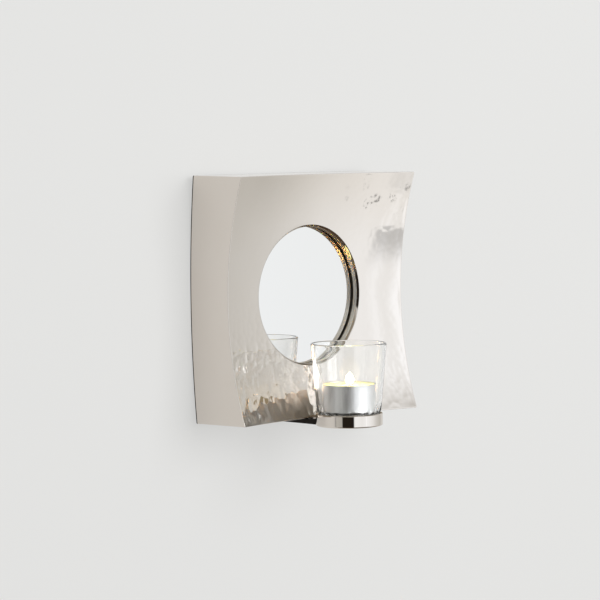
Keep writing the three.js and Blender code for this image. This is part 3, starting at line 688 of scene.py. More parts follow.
def nickel_finish(tints, name, haze, sawn=None):
    """Polished nickel: a slightly uneven tone, a clouded polish and faint buffing lines. Where the mesh
    says satin, it shows fine turned lines instead and is darker and browner towards the top. Where the
    mesh marks painted shade or, if sawn is given, farther than that from the middle, it is rougher and
    painted near-black: painted shade for gaps, recesses and sides where shade falls."""
    tone_grain = 14.0
    polish_grain = 60.0
    turned_grain = 1800.0
    buffed_grain = 260.0
    round_the_bore = (0.02, 1.0, 0.02)
    across_the_face = (1.0, 1.0, 14.0)
    browning_heights = (12 * MM, 42 * MM)
    turned_haze = (0.22, 0.6)
    raw_haze = 0.6
    made, tree, shader, place = finish(name, metallic=1.0)
    tone = spread(tree, cloud(tree, place, tone_grain), (0.35, 0.7))
    bright = mixed(tree, tone, tints.nickel, tints.nickel_warm)
    if sawn is None:
        raw = node(tree, "Attribute", attribute_name="dull_and_painted_shade").outputs["Fac"]
    else:
        raw = maths(tree, "GREATER_THAN", maths(tree, "ABSOLUTE", axis_of(tree, place, "X")), sawn)
    satin = node(tree, "Attribute", attribute_name="satin").outputs["Fac"]
    towards_top = spread(tree, axis_of(tree, place, "Z"), browning_heights, ease=True)
    turned_tone = mixed(tree, towards_top, tints.satin, tints.top_brown)
    # Painted shade: where the mark is set, the colour goes to the near-black raw tint in place of the shade
    # in gaps, recesses and shaded sides
    colour = mixed(tree, raw, mixed(tree, satin, bright, turned_tone), tints.raw)
    polish = spread(tree, cloud(tree, place, polish_grain, 4.0), (0.3, 0.8), (haze * 0.4, haze))
    cuts = cloud(tree, stretched(tree, place, round_the_bore), turned_grain, 2.0)
    cut_haze = product(tree, satin, spread(tree, cuts, (0.35, 0.65), turned_haze))
    unpolished = maths(tree, "ADD", cut_haze, product(tree, raw, raw_haze))
    connect(tree, shader, {"Base Color": colour, "Roughness": maths(tree, "ADD", polish, unpolished)})
    lines = cloud(tree, stretched(tree, place, across_the_face), buffed_grain, 2.0)
    roughen(tree, shader, lines, strength=0.02, distance=0.2 * MM)
    return made


def mirror_finish(tints):
    """Silvered glass: bright, with a very faint cloud in its polish."""
    grain = 18.0
    haziest = 0.012
    made, tree, shader, place = finish("silvered mirror", metallic=1.0, base_color=opaque(tints.mirror))
    connect(tree, shader, {"Roughness": spread(tree, cloud(tree, place, grain), (0.3, 0.8), (0.0, haziest))})
    return made


def glass_finish(tints):
    """Clear glass that lets lamps through, with the slight unevenness of a pressed tumbler."""
    grain = 45.0
    made, tree, shader, place = finish(
        "votive glass", base_color=opaque(tints.glass), roughness=0.0, ior=1.42, transmission_weight=0.975
    )
    roughen(tree, shader, cloud(tree, place, grain, 1.0), strength=0.06, distance=0.6 * MM)
    clear = node(tree, "BsdfTransparent", {"Color": opaque(tints.glass_shadow)})
    shadow = node(tree, "LightPath").outputs["Is Shadow Ray"]
    show(tree, either(tree, shadow, shader.outputs[0], clear.outputs[0]))
    return made


def foil_finish(tints):
    """Drawn aluminium: upright drawing lines in its tone, its satin shine and its relief."""
    grain = 900.0
    drawn_up = (1.0, 1.0, 0.04)
    shine = (0.36, 0.46)
    made, tree, shader, place = finish("tealight foil", metallic=0.9)
    lines = cloud(tree, stretched(tree, place, drawn_up), grain)
    tone = mixed(tree, lines, tints.foil, scaled(tints.foil, 0.86))
    connect(tree, shader, {"Base Color": tone, "Roughness": spread(tree, lines, (0.3, 0.7), shine)})
    roughen(tree, shader, lines, strength=0.12, distance=0.3 * MM)
    return made


def wax_finish(tints):
    """Paraffin wax: light passes some way into it, it glows near the wick, and the pool there is wet."""
    tone_grain = 180.0
    relief_grain = 220.0
    glow_reach = (0.0, 19 * MM)
    glow = (0.76, 0.68)
    pool_reach = (6 * MM, 11 * MM)
    wet_to_dry = (0.08, 0.45)
    made, tree, shader, place = finish(
        "candle wax", subsurface_weight=1.0, subsurface_scale=6 * MM, subsurface_radius=(1.0, 0.75, 0.45),
        emission_color=opaque(tints.wax_glow),
    )
    from_wick = node(tree, "Mapping", {"Vector": place, "Location": (0.0, -CUP_Y, 0.0)}).outputs["Vector"]
    parts = node(tree, "SeparateXYZ", {"Vector": from_wick}).outputs
    flat = node(tree, "CombineXYZ", {"X": parts["X"], "Y": parts["Y"]}).outputs["Vector"]
    reach = node(tree, "VectorMath", {0: flat}, operation="LENGTH").outputs["Value"]
    tone = spread(tree, cloud(tree, place, tone_grain), (0.35, 0.65))
    connect(tree, shader, {
        "Base Color": mixed(tree, tone, tints.wax, scaled(tints.wax, 1.05)),
        "Emission Strength": spread(tree, reach, glow_reach, glow),
        "Roughness": spread(tree, reach, pool_reach, wet_to_dry, ease=True),
    })
    roughen(tree, shader, cloud(tree, place, relief_grain, 2.0), strength=0.1, distance=0.4 * MM)
    return made


def wick_finish(tints):
    """Cotton braid that is pale in the wax, and charred and glowing a little above it."""
    grain = 2500.0
    charring = (WAX_HIGH.z - 0.5 * MM, WAX_HIGH.z + 2 * MM)
    made, tree, shader, place = finish(
        "burnt wick", roughness=0.95, emission_color=opaque(tints.flame), emission_strength=1.5
    )
    burnt = spread(tree, axis_of(tree, place, "Z"), charring, ease=True)
    connect(tree, shader, {"Base Color": mixed(tree, burnt, tints.cotton, tints.char)})
    roughen(tree, shader, cloud(tree, place, grain), strength=0.6, distance=0.3 * MM)
    return made


def light_finish(name, **values):
    """A black material with no shine, which only gives light. With it comes how high a place is over the
    foot of the flame, and how often its light has been mirrored."""
    made, tree, shader, place = finish(
        name, base_color=(0.0, 0.0, 0.0, 1.0), roughness=1.0, specular_ior_level=0.0, **values
    )
    height = maths(tree, "SUBTRACT", axis_of(tree, place, "Z"), FLAME_FOOT)
    mirrored = node(tree, "LightPath").outputs["Glossy Depth"]
    return made, tree, shader, place, height, mirrored


def flame_finish(tints):
    """Light that is blue at the foot, bright in the middle and warm at the tip. Metal mirrors it faintly;
    what it mirrors twice is stronger and orange, a painted glint of gold in the turned collar."""
    coloured_height = 9 * MM
    body_share = 0.25
    bright_share = 0.3
    made, tree, shader, _, height, mirrored = light_finish("flame")
    share = spread(tree, height, (0.0, coloured_height))
    ramp = node(tree, "ValToRGB", {"Fac": share})
    stops = ramp.color_ramp.elements
    stops[0].color = opaque(tints.flame_foot)
    stops[1].color = opaque(tints.flame)
    stops.new(body_share).color = opaque(tints.flame_body)
    strength = spread(tree, share, (0.0, bright_share), FLAME_STRENGTH, ease=True)
    once = spread(tree, mirrored, (0.0, 1.0), (1.0, FLAME_ONCE))
    twice = maths(tree, "COMPARE", mirrored, 2.0)
    left = maths(tree, "MAXIMUM", once, product(tree, twice, FLAME_TWICE))
    connect(tree, shader, {
        "Emission Color": mixed(tree, twice, ramp.outputs["Color"], tints.painted_glint),
        "Emission Strength": product(tree, strength, left),
    })
    return made


def veil_finish(tints):
    """Faint light round the flame that hides little of what is behind it, and fades towards its tip. Its
    rear, where it is mirrored twice, by the mirror and then by the collar, is made many times stronger
    and orange: a painted glint of gold in the turned metal."""
    fading = (5 * MM, 18 * MM)
    made, tree, shader, place, height, mirrored = light_finish("flame veil", alpha=0.06)
    inner_side = node(tree, "NewGeometry").outputs["Backfacing"]
    behind_wick = maths(tree, "GREATER_THAN", axis_of(tree, place, "Y"), CUP_Y)
    rear = maths(tree, "MAXIMUM", maths(tree, "SUBTRACT", behind_wick, inner_side), 0.0)
    twice = product(tree, maths(tree, "COMPARE", mirrored, 2.0), rear)
    faded = spread(tree, height, fading, VEIL_STRENGTH)
    connect(tree, shader, {
        "Emission Color": mixed(tree, twice, tints.veil, tints.painted_glint),
        "Emission Strength": product(tree, faded, spread(tree, twice, (0.0, 1.0), (1.0, VEIL_TWICE))),
    })
    return made


def board_finish(name, colour, grain):
    """Pressed board: short fibres in the tone, and a matt, slightly rough face."""
    fibre_length = (1.0, 1.0, 0.35)
    matt = (0.7, 0.9)
    made, tree, shader, place = finish(name)
    fibres = cloud(tree, stretched(tree, place, fibre_length), grain, 6.0, 0.7)
    tone = mixed(tree, spread(tree, fibres, (0.4, 0.75)), colour, scaled(colour, 2.2))
    connect(tree, shader, {"Base Color": tone, "Roughness": spread(tree, fibres, (0.2, 0.8), matt)})
    roughen(tree, shader, fibres, strength=0.25, distance=0.4 * MM)
    return made


def fixing_finish(name, colour, grain, shine):
    """Plain metal of hidden fixings: a mottled coat and fine drawn lines."""
    drawn = (1.0, 9.0, 1.0)
    made, tree, shader, place = finish(name, metallic=1.0)
    mottle = cloud(tree, place, grain, 5.0, 0.65)
    tone = mixed(tree, mottle, scaled(colour, 0.7), colour)
    connect(tree, shader, {"Base Color": tone, "Roughness": spread(tree, mottle, (0.3, 0.7), shine)})
    roughen(tree, shader, cloud(tree, stretched(tree, place, drawn), grain * 3, 2.0), 0.1, 0.2 * MM)
    return made


def wall_finish(tints):
    """Matt paint with faint unevenness. Part of what is seen of it is its own even light, less to the far
    left. It is clear from behind, and to light that starts right against it, so that the sconce's back
    can be seen."""
    grain = 3.0
    left_to_right = (-1.5, -0.3)
    dim_to_lit = (0.4, 0.98)
    right_against = 0.8 * MM
    made, tree, shader, place = finish("wall paint", roughness=0.9)
    uneven = spread(tree, cloud(tree, place, grain, 4.0), (0.35, 0.65))
    connect(tree, shader, {"Base Color": mixed(tree, uneven, tints.wall, scaled(tints.wall, 0.975))})
    path = node(tree, "LightPath").outputs
    mirrored = maths(tree, "MAXIMUM", path["Is Glossy Ray"], path["Is Transmission Ray"])
    seen = maths(tree, "MAXIMUM", path["Is Camera Ray"], mirrored)
    lit = spread(tree, axis_of(tree, place, "X"), left_to_right, dim_to_lit, ease=True)
    own_light = node(tree, "Emission", {"Color": opaque(tints.wall), "Strength": lit}).outputs[0]
    paint = either(tree, product(tree, seen, WALL_OWN_LIGHT), shader.outputs[0], own_light)
    behind = node(tree, "NewGeometry").outputs["Backfacing"]
    near = maths(tree, "LESS_THAN", path["Ray Length"], right_against)
    clear = node(tree, "BsdfTransparent").outputs[0]
    show(tree, either(tree, maths(tree, "MAXIMUM", behind, near), paint, clear))
    return made


def repaint(material, *names):
    """Gives CAD nodes a finish."""
    for name in names:
        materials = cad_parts[name].data.materials
        materials.clear()
        materials.append(material)


def numbered(stem, count):
    """The names of like nodes, which are numbered from one."""
    return [f"{stem}_{k + 1}" for k in range(count)]


# The room that metal and glass show


def band(tree, value, span, blurs):
    """One inside a range and nought outside it, with its own blur at each end."""
    rise = spread(tree, value, (span[0] - blurs[0], span[0] + blurs[0]), ease=True)
    fall = spread(tree, value, (span[1] - blurs[1], span[1] + blurs[1]), (1.0, 0.0), ease=True)
    return product(tree, rise, fall)


def inside(tree, aim, part):
    """One inside a part of the room and nought outside it. The aim is an azimuth and an elevation."""
    across = band(tree, aim[0], part.azimuth, part.side_blur)
    return product(tree, across, band(tree, aim[1], part.elevation, part.end_blur))


def left_by(tree, aim, parts):
    """What is left of the room's light after its parts: a product of one less each part's share."""
    left = 1.0
    for part in parts:
        taken = product(tree, inside(tree, aim, part), part.share)
        left = product(tree, left, maths(tree, "SUBTRACT", 1.0, taken))
    return left


def left_by_specks(tree, aim):
    """What small dark things on the floor leave of the light: spots in some cells of a random pattern."""
    cells_in_a_degree = 0.4
    spot_radius = (0.12, 0.24)
    place = node(tree, "CombineXYZ", {"X": aim[0], "Y": aim[1]}).outputs["Vector"]
    cells = node(tree, "TexVoronoi", {"Vector": place, "Scale": cells_in_a_degree}).outputs
    spot = spread(tree, cells["Distance"], spot_radius, (1.0, 0.0), ease=True)
    draw = node(tree, "SeparateColor", {"Color": cells["Color"]}).outputs["Red"]
    chosen = spread(tree, draw, (0.1, 0.5), (0.0, SPECK_FIELD.share))
    return maths(tree, "SUBTRACT", 1.0, product(tree, spot, chosen, inside(tree, aim, SPECK_FIELD)))


def room_levels(tree, azimuth):
    """The room's brightness to each side, as a ramp round the horizon. Where darker, it is warmer."""
    ramp = node(tree, "ValToRGB", {"Fac": spread(tree, azimuth, (-180.0, 180.0))})
    stops = ramp.color_ramp.elements
    while len(stops) > 1:
        stops.remove(stops[0])
    stops[0].position = 0.0
    for angle, level in ROOM_LEVELS:
        stop = stops[0] if angle == -180 else stops.new(angle / 360 + 0.5)
        grey = 1 - level
        stop.color = (level, level * (1 - GREEN_LOSS * grey), level * (1 - BLUE_LOSS * grey), 1.0)
    return ramp.outputs["Color"]


def room_world():
    """An even pale light. What polished metal and glass show is a plain room: bright in front of the
    wall, greyer along it, with a dark ceiling and floor, a high window and a dark doorway to the left."""
    daylight_heights = (-32.0, -10.0)
    ceiling_heights = (17.0, 36.0)
    floor_heights = (-37.0, -32.0)
    even_heights = (-60.0, 60.0)
    even_levels = (0.2, 0.65)
    world = bpy.data.worlds.new("room")
    world.use_nodes = True
    tree = world.node_tree
    towards = tree.nodes.new("ShaderNodeTexCoord").outputs["Generated"]
    parts = node(tree, "SeparateXYZ", {"Vector": towards}).outputs
    outward = product(tree, parts["Y"], -1.0)
    to_degrees = 180 / math.pi
    azimuth = product(tree, maths(tree, "ARCTAN2", parts["X"], outward), to_degrees)
    elevation = product(tree, maths(tree, "ARCSINE", parts["Z"]), to_degrees)
    aim = (azimuth, elevation)

    left = product(tree, left_by(tree, aim, ROOM_PARTS), left_by_specks(tree, aim))
    levels = {0: room_levels(tree, azimuth), "Scale": left}
    room = node(tree, "VectorMath", levels, operation="SCALE").outputs["Vector"]
    room = mixed(tree, 1.0, room, DARKEST, "LIGHTEN")
    low = spread(tree, elevation, daylight_heights, (1.0, 0.0), ease=True)
    room = mixed(tree, 1.0, room, mixed(tree, low, DAYLIGHT, LOW_DAYLIGHT), "MULTIPLY")
    above = spread(tree, elevation, ceiling_heights, ease=True)
    room = mixed(tree, product(tree, above, left_by(tree, aim, [CEILING_GAP])), room, CEILING)
    room = mixed(tree, spread(tree, elevation, floor_heights, (1.0, 0.0), ease=True), room, FLOOR)

    path = node(tree, "LightPath").outputs
    overhead = spread(tree, elevation, even_heights, even_levels)
    even = node(tree, "Background", {"Color": opaque(EVEN_LIGHT), "Strength": overhead}).outputs[0]
    backdrop = node(tree, "Background", {"Color": opaque(BACKDROP)}).outputs[0]
    shown = node(tree, "Background", {"Color": room, "Strength": ROOM_STRENGTH}).outputs[0]
    mirrored = maths(tree, "MAXIMUM", path["Is Glossy Ray"], path["Is Transmission Ray"])
    show(tree, either(tree, mirrored, either(tree, path["Is Camera Ray"], even, backdrop), shown))
    return world


# Operators


class SconceStage(bpy.types.Operator):
    """Set up the wall, the lamp, the room and the camera"""

    bl_idname = "sconce.stage"
    bl_label = "Stage"

    def execute(self, context):
        scene = context.scene
        scene.view_settings.view_transform = "Standard"
        wall = self.make_wall(scene.sconce_tints)
        self.make_lamp()
        scene.world = room_world()
        scene.camera = self.make_camera()
        return {"FINISHED"}

    def make_wall(self, tints):
        """One flat sheet just behind the sconce, which faces the viewer."""
        left, right = WALL_SIDES
        low, high = WALL_ENDS
        outline = ((left, low), (right, low), (right, high), (left, high))
        mesh = bpy.data.meshes.new("wall")
        mesh.from_pydata([(x, WALL_GAP, z) for x, z in outline], [], [(0, 1, 2, 3)])
        mesh.materials.append(wall_finish(tints))
        return linked("wall", mesh)

    def make_lamp(self):
        """A square soft lamp that points at the plate. The metal mirrors the room and not the lamp."""
        lamp = bpy.data.lights.new("key lamp", "AREA")
        lamp.size = LAMP_SIZE
        lamp.energy = LAMP_POWER
        made = linked("key lamp", lamp)
        made.location = LAMP_PLACE
        made.rotation_euler = (-Vector(LAMP_PLACE)).to_track_quat("-Z", "Y").to_euler()
        made.visible_glossy = False

    def make_camera(self):
        """A long lens to the left of the plate and a little above it, with a slight roll."""
        level = math.cos(CAMERA_PITCH)
        back = Vector((-math.sin(CAMERA_YAW) * level, -math.cos(CAMERA_YAW) * level, math.sin(CAMERA_PITCH)))
        right = Vector((math.cos(CAMERA_YAW), -math.sin(CAMERA_YAW), 0.0))
        up = back.cross(right)
        rolled_right = math.cos(CAMERA_ROLL) * right + math.sin(CAMERA_ROLL) * up
        rolled_up = math.cos(CAMERA_ROLL) * up - math.sin(CAMERA_ROLL) * right
        lens = bpy.data.cameras.new("camera")
        lens.sensor_width = SENSOR_WIDTH
        lens.lens = FOCAL_LENGTH
        made = linked("camera", lens)
        aimed = Matrix((rolled_right, rolled_up, back)).transposed().to_4x4()
        made.matrix_world = Matrix.Translation(CAMERA_TARGET + back * CAMERA_DISTANCE) @ aimed
        return made


class SconceShell(bpy.types.Operator):
    """Make the hammered face and its folded sides"""

    bl_idname = "sconce.shell"
    bl_label = "Shell"

    def execute(self, context):
        plate = context.scene.sconce_plate
        collar = context.scene.sconce_collar
        hole = collar.bore + collar.wall + collar.gap
        outer, outer_shade_marks = shell_skin(plate, hole, 0.0, FACE_ROWS, True)
        inner, inner_shade_marks = shell_skin(plate, hole, plate.sheet, INNER_FACE_ROWS, False)
        rows = np.concatenate([outer, inner[::-1]])
        # The rear strip of the outer skin and the whole inner skin get near-black painted shade, for the gap
        # at the wall and the inside of the shell
        dull_and_painted_shade = np.concatenate([outer_shade_marks, np.ones_like(inner_shade_marks)])
        nickel = nickel_finish(context.scene.sconce_tints, "hammered nickel", haze=0.05)
        shell = ring_piece("hammered_shell", rows, nickel, sharp=50.0, marks={"dull_and_painted_shade": dull_and_painted_shade})
        dress(shell, "sconce", ["front_shell"])
        return {"FINISHED"}


class SconceCollar(bpy.types.Operator):
    """Make the turned collar whose rim follows the bowl of the face"""

    bl_idname = "sconce.collar"
    bl_label = "Collar"

    def execute(self, context):
        rows = self.collar_rows(context.scene.sconce_plate, context.scene.sconce_collar)
        # The rebate by the mirror is painted near-black: painted shade in the recess between collar and
        # mirror
        rebate_rows = 2
        dull_and_painted_shade = np.zeros(len(rows))
        dull_and_painted_shade[-rebate_rows:] = REBATE_SHADE
        satin = np.zeros(len(rows))
        satin[:WALL_ROWS - 1] = 1
        nickel = nickel_finish(context.scene.sconce_tints, "turned nickel", haze=0.05)
        made = ring_piece("turned_collar", rows, nickel, sharp=35.0, marks={"dull_and_painted_shade": dull_and_painted_shade, "satin": satin})
        dress(made, "sconce", ["opening_collar"])
        return {"FINISHED"}

    def collar_rows(self, plate, collar):
        """A straight wall from the rebate to the rim, with fine lines as a squared sine of the depth,
        then a rim that rises to the face as a power of the way over it, then flange, back and rebate."""
        turn = turns(COLLAR_COLUMNS)
        outer = collar.bore + collar.wall
        face = face_depth(plate, outer * np.cos(turn), outer * np.sin(turn))
        back = -COLLAR_HIGH.y
        share = np.linspace(0, 1, WALL_ROWS)[:, None]
        wall_low = back + collar.rebate_width
        wall_depth = wall_low + share * (face - collar.rim_fall - wall_low)
        lines = np.sin(math.pi * wall_depth / collar.line_pitch) ** 2
        faded = smooth(share, 0, LINE_FADE) * smooth(1 - share, 0, LINE_FADE)
        wall_radius = collar.bore + collar.line_depth * faded * lines
        over = np.linspace(0, 1, LIP_ROWS)[1:, None]
        lip_radius = collar.bore + collar.wall * over
        lip_depth = face - collar.rim_fall * (1 - over) ** LIP_CURVE
        flange = back + collar.flange
        rebate = collar.bore + collar.rebate_depth
        widest = COLLAR_HIGH.x
        rest = corners((outer, flange), (widest, flange), (widest, back), (rebate, back), (rebate, wall_low))
        plain = np.ones_like(turn)
        radius = np.concatenate([wall_radius, lip_radius * plain, rest[:, :1] * plain])
        depth = np.concatenate([wall_depth, lip_depth, rest[:, 1:] * plain])
        return faced(radius, depth, turn)


class SconceMirror(bpy.types.Operator):
    """Make the round mirror, with its edge ground, and paint its backing"""

    bl_idname = "sconce.mirror"
    bl_label = "Mirror"

    def execute(self, context):
        tints = context.scene.sconce_tints
        front = -MIRROR_LOW.y
        back = -MIRROR_HIGH.y
        radius = MIRROR_HIGH.x
        ground = 0.4 * MM
        profile = corners(
            (0, front), (radius - ground, front), (radius, front - ground),
            (radius, back + ground), (radius - ground, back), (0, back),
        )
        rows = faced(profile[:, :1], profile[:, 1:], turns(COLLAR_COLUMNS))
        made = capped_piece("round_mirror", rows, mirror_finish(tints), sharp=20.0)
        dress(made, "sconce", ["mirror_disc"])
        repaint(board_finish("raw hardboard", tints.hardboard, grain=700.0), "mirror_backing")
        return {"FINISHED"}


class SconceFixings(bpy.types.Operator):
    """Paint the board, the hanger and the other fixings behind the face"""

    bl_idname = "sconce.fixings"
    bl_label = "Fixings"

    def execute(self, context):
        tints = context.scene.sconce_tints
        repaint(board_finish("black board", tints.board, grain=500.0), "back_board")
        steel = fixing_finish("zinc steel", tints.steel, grain=400.0, shine=(0.25, 0.45))
        repaint(steel, "hanger_plate", "wick_sustainer", *numbered("hanger_screw", 2))
        repaint(steel, *numbered("board_screw", 4), *numbered("clip_screw", 4), *numbered("mirror_clip", 4))
        repaint(steel, *numbered("arm_screw", 2), *numbered("arm_nut", 2))
        brass = fixing_finish("sawn brass", tints.brass, grain=250.0, shine=(0.3, 0.5))
        repaint(brass, *numbered("corner_gusset", 4))
        return {"FINISHED"}


class SconceRing(bpy.types.Operator):
    """Make the ring that holds the glass, notched round the arm, and polish the arm"""

    bl_idname = "sconce.ring"
    bl_label = "Ring and arm"

    def execute(self, context):
        cup = context.scene.sconce_cup
        tints = context.scene.sconce_tints
        nickel = nickel_finish(tints, "polished nickel", haze=0.03)
        made = ring_piece("cup_band", self.ring_rows(cup), nickel)
        dress(made, "sconce", ["cup_ring"])
        # Farther than this from the middle, the arm's sides are painted near-black: painted shade for the
        # dark sides under the plate
        sawn = cup.arm_width / 2 - 0.05 * MM
        repaint(nickel_finish(tints, "sawn nickel", haze=0.03, sawn=sawn), "candle_arm")
        return {"FINISHED"}

    def ring_rows(self, cup):
        """A band with a rounded foot and a half-round top. Points under the notch are lifted to its top."""
        outer = RING_HIGH.x
        bore = outer - cup.ring_wall
        low = RING_LOW.z
        high = RING_HIGH.z
        half_wall = cup.ring_wall / 2
        foot = 1.2 * MM
        profile = np.concatenate([
            corners((bore, low)),
            arc(outer - foot, low + foot, foot, foot, -90, 0, 8),
            line((outer, low + foot), (outer, high - half_wall), 16),
            arc(outer - half_wall, high - half_wall, half_wall, half_wall, 0, 180),
            line((bore, high - half_wall), (bore, low), 16),
        ])
        rows = turned(profile, RING_COLUMNS)
        half_notch = cup.arm_width / 2 + cup.notch_gap
        notch_top = ARM_HIGH.z + cup.notch_gap
        notched = (np.abs(rows[..., 0]) < half_notch) & (rows[..., 1] > CUP_Y)
        rows[..., 2] = np.where(notched, np.maximum(rows[..., 2], notch_top), rows[..., 2])
        return rows


class SconceGlass(bpy.types.Operator):
    """Make the tapered votive glass"""

    bl_idname = "sconce.glass"
    bl_label = "Glass"

    def execute(self, context):
        cup = context.scene.sconce_cup
        foot = RING_HIGH.x - cup.ring_wall - cup.foot_clearance
        inner = foot + cup.shoulder - cup.glass_wall
        floor = GLASS_LOW.z + cup.glass_base
        profile = self.glass_profile(cup, foot, inner, floor)
        rows = turned(profile, CUP_COLUMNS)
        self.press_flutes(cup, rows, profile, inner)
        self.ripple_floor(cup, rows, profile, inner, floor)
        made = capped_piece("votive_glass", rows, glass_finish(context.scene.sconce_tints), sharp=60.0)
        dress(made, "glass", ["glass_cup"])
        return {"FINISHED"}

    def glass_profile(self, cup, foot, inner, floor):
        """From the middle of the hollow base, round the foot and the shoulder, up the outer wall, over
        the rim, down the inner wall and to the middle of the floor."""
        low = GLASS_LOW.z
        high = GLASS_HIGH.z
        rim = GLASS_HIGH.x
        body = foot + cup.shoulder
        shoulder = RING_HIGH.z + 0.5 * MM
        half_wall = cup.rim_wall / 2
        hollow = foot - 8 * MM
        tread = foot - 4 * MM
        return np.concatenate([
            corners((0, low + cup.punt)),
            line((0, low + cup.punt), (hollow, low + cup.punt), 6),
            corners((hollow, low + cup.punt), (tread, low)),
            arc(foot - cup.edge, low + cup.edge, cup.edge, cup.edge, -90, 0),
            line((foot, low + cup.edge), (foot, shoulder), 4),
            arc(foot, shoulder + cup.shoulder_rise, cup.shoulder, cup.shoulder_rise, -90, 0),
            line((body, shoulder + cup.shoulder_rise), (rim, high - half_wall), 24),
            arc(rim - half_wall, high - half_wall, half_wall, half_wall, 0, 180, 16),
            line((rim - cup.rim_wall, high - half_wall), (inner, floor + cup.edge), 24),
            arc(inner - cup.edge, floor + cup.edge, cup.edge, cup.edge, 0, -90),
            line((inner - cup.edge, floor), (0, floor), 8),
            corners((0, floor)),
        ])

    def press_flutes(self, cup, rows, profile, inner):
        """Pulls the outside in just above the ring: by the size of a sine with nineteen flutes in a turn,
        unevenly spaced by a slower sine, times another slow sine for their depth."""
        rise = (-1 * MM, 0.8 * MM)
        fall = (-7 * MM, -2.5 * MM)
        mean_depth = 0.6
        turn = turns(CUP_COLUMNS)
        flutes = np.abs(np.sin(HALF_FLUTES * turn + waves(turn, FLUTE_SPACING)))
        depth = cup.flute * flutes * (mean_depth + waves(turn, FLUTE_DEPTHS))
        reach = profile[:, :1]
        height = profile[:, 1:] - RING_HIGH.z
        pressed = smooth(height, *rise) * smooth(-height, *fall) * (reach > inner + 0.1 * MM)
        pull = 1 - pressed * depth / np.maximum(reach, MM)
        rows[..., 0] *= pull
        rows[..., 1] = CUP_Y + (rows[..., 1] - CUP_Y) * pull

    def ripple_floor(self, cup, rows, profile, inner, floor):
        """Sinks the outer part of the floor by the ripple's depth times one plus three sines of the turn,
        over the most that they can add up to."""
        rise = (-2.5 * MM, -0.5 * MM)
        most = sum(weight for weight, _, _ in FLOOR_WAVES)
        uneven = 1 + waves(turns(CUP_COLUMNS), FLOOR_WAVES) / most
        reach = profile[:, :1]
        height = profile[:, 1:]
        on_floor = (reach <= inner) & (height >= floor - 0.01 * MM)
        sunk = smooth(reach, 0.5 * inner, 0.9 * inner) * smooth(floor - height, *rise) * on_floor
        rows[..., 2] -= cup.ripple * sunk * uneven


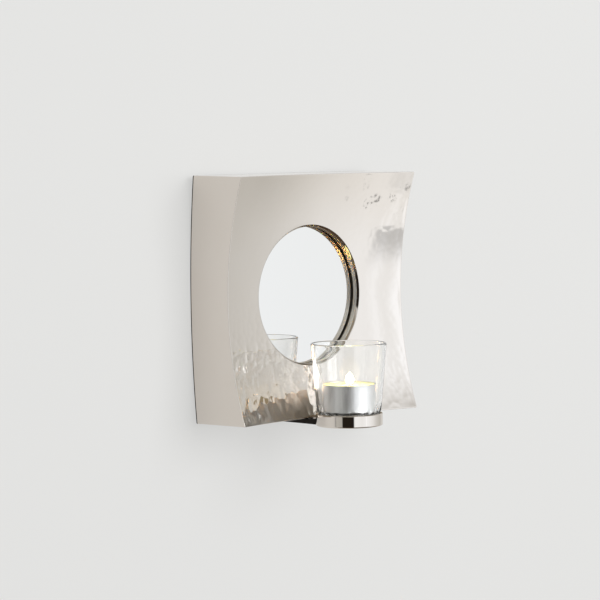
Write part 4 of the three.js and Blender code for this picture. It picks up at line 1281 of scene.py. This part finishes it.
class SconceTealight(bpy.types.Operator):
    """Make the tin, the wax, the wick and the flame"""

    bl_idname = "sconce.tealight"
    bl_label = "Tealight"

    def execute(self, context):
        cup = context.scene.sconce_cup
        tints = context.scene.sconce_tints
        self.make_tin(cup, tints)
        self.make_wax(cup, tints)
        self.make_wick(cup, tints)
        self.make_drop("flame", cup, 1.0, flame_finish(tints))
        self.make_drop("flame_veil", cup, cup.veil_scale, veil_finish(tints))
        return {"FINISHED"}

    def make_tin(self, cup, tints):
        """A turned cup: a floor, a rounded foot, a wall that widens, a rolled bead and the same inside."""
        low = TIN_LOW.z
        high = TIN_HIGH.z
        bead = cup.tin_bead
        radius = TIN_HIGH.x - bead
        foot = radius - cup.tin_taper
        wall = cup.tin_wall
        profile = np.concatenate([
            corners((0, low)),
            line((0, low), (foot - bead, low), 6),
            arc(foot - bead, low + bead, bead, bead, -90, 0, 5),
            line((foot, low + bead), (radius, high - 2 * bead), 12),
            arc(radius, high - bead, bead, bead, -70, 110, 12),
            corners((radius - wall, high - bead * 0.4)),
            line((radius - wall, high - bead), (foot - wall, low + wall + bead), 12),
            arc(foot - wall - bead, low + wall + bead, bead, bead, 0, -90, 5),
            line((foot - wall - bead, low + wall), (0, low + wall), 6),
            corners((0, low + wall)),
        ])
        made = capped_piece("foil_tin", turned(profile, CUP_COLUMNS), foil_finish(tints))
        dress(made, "tealight", ["tealight_tin"])

    def make_wax(self, cup, tints):
        """A turned filling with room for the wick and its foot. Its top climbs the tin as an exponential
        of the distance from it, and sinks to an eased pool round the wick."""
        low = WAX_LOW.z
        high = WAX_HIGH.z
        radius = WAX_HIGH.x
        foot = radius - cup.tin_taper
        bore = 0.75 * MM
        round_foot = 1 * MM
        climb = 0.3 * MM
        climb_width = 0.5 * MM
        pool_edge = (3 * MM, 7.5 * MM)
        hollow_radius = 8 * MM
        hollow_top = low + 4 * MM
        across = np.linspace(radius, bore, POOL_STEPS)
        meniscus = np.exp(-(radius - across) / climb_width)
        top = high - climb * (1 - meniscus) - cup.wax_pool * (1 - smooth(across, *pool_edge))
        profile = np.concatenate([
            corners((bore, hollow_top), (hollow_radius, hollow_top), (hollow_radius, low)),
            arc(foot - round_foot, low + round_foot, round_foot, round_foot, -90, 0, 5),
            line((foot, low + round_foot), (radius, high), 10),
            np.stack([across, top], axis=-1),
        ])
        made = ring_piece("wax_fill", turned(profile, CUP_COLUMNS), wax_finish(tints))
        dress(made, "tealight", ["tealight_wax"])

    def make_wick(self, cup, tints):
        """A tube with three strands twisted round it, whose middle line leans over above the wax as the
        square of the height, and which thins as its fourth power."""
        strands = 3
        strand_relief = 0.09
        twist = 3500
        thinning = 0.35
        height = np.linspace(WICK_LOW.z, WICK_HIGH.z, WICK_ROWS)[:, None]
        above = np.clip((height - WAX_HIGH.z) / (WICK_HIGH.z - WAX_HIGH.z), 0, 1)
        turn = turns(WICK_COLUMNS)
        relief = 1 + strand_relief * np.cos(strands * turn + height * twist)
        radius = cup.wick_radius * relief * (1 - thinning * above**4)
        x = cup.wick_lean * above**2 + radius * np.cos(turn)
        y = CUP_Y + radius * np.sin(turn)
        rows = np.stack([x, y, np.broadcast_to(height, x.shape)], axis=-1)
        foot, tip = (np.broadcast_to(row.mean(axis=0), row.shape)[None] for row in (rows[0], rows[-1]))
        made = capped_piece("braided_wick", np.concatenate([foot, rows, tip]), wick_finish(tints))
        dress(made, "tealight", ["wick"])

    def make_drop(self, name, cup, scale, material):
        """A drop of light: the radius is the square root of the height's share, times one less that share
        to a power, so that it is widest low down and comes to a tip."""
        tip_curve = 0.9
        share = np.linspace(0, 1, FLAME_STEPS)
        swell = np.sqrt(share) * (1 - share) ** tip_curve
        radius = scale * cup.flame_radius * swell / swell.max()
        profile = np.stack([radius, FLAME_FOOT + scale * cup.flame_height * share], axis=-1)
        rows = turned(profile, FLAME_STEPS)
        rows[..., 0] += FLAME_LEAN
        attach(capped_piece(name, rows, material), "tealight")


class SconcePanel(bpy.types.Panel):
    """Lists the pieces and their sizes in the sidebar"""

    bl_idname = "SCONCE_PT_pieces"
    bl_label = "Sconce"
    bl_space_type = "VIEW_3D"
    bl_region_type = "UI"
    bl_category = "Sconce"

    def draw(self, context):
        for operator in OPERATORS:
            self.layout.operator(operator.bl_idname)
        for name in GROUPS:
            group = getattr(context.scene, name)
            for key in group.__annotations__:
                self.layout.prop(group, key)


OPERATORS = (
    SconceStage,
    SconceShell,
    SconceCollar,
    SconceMirror,
    SconceFixings,
    SconceRing,
    SconceGlass,
    SconceTealight,
)
GROUPS = {
    "sconce_plate": PlateSizes,
    "sconce_collar": CollarSizes,
    "sconce_cup": CupSizes,
    "sconce_tints": SconceTints,
}


def register():
    for group in GROUPS.values():
        bpy.utils.register_class(group)
    for name, group in GROUPS.items():
        setattr(bpy.types.Scene, name, bpy.props.PointerProperty(type=group))
    for operator in OPERATORS:
        bpy.utils.register_class(operator)
    bpy.utils.register_class(SconcePanel)


def unregister():
    bpy.utils.unregister_class(SconcePanel)
    for operator in reversed(OPERATORS):
        bpy.utils.unregister_class(operator)
    for name in GROUPS:
        delattr(bpy.types.Scene, name)
    for group in reversed(GROUPS.values()):
        bpy.utils.unregister_class(group)


def main():
    register()
    bpy.ops.sconce.stage()
    bpy.ops.sconce.shell()
    bpy.ops.sconce.collar()
    bpy.ops.sconce.mirror()
    bpy.ops.sconce.fixings()
    bpy.ops.sconce.ring()
    bpy.ops.sconce.glass()
    bpy.ops.sconce.tealight()
    bpy.context.view_layer.update()


if __name__ == "__main__":
    main()
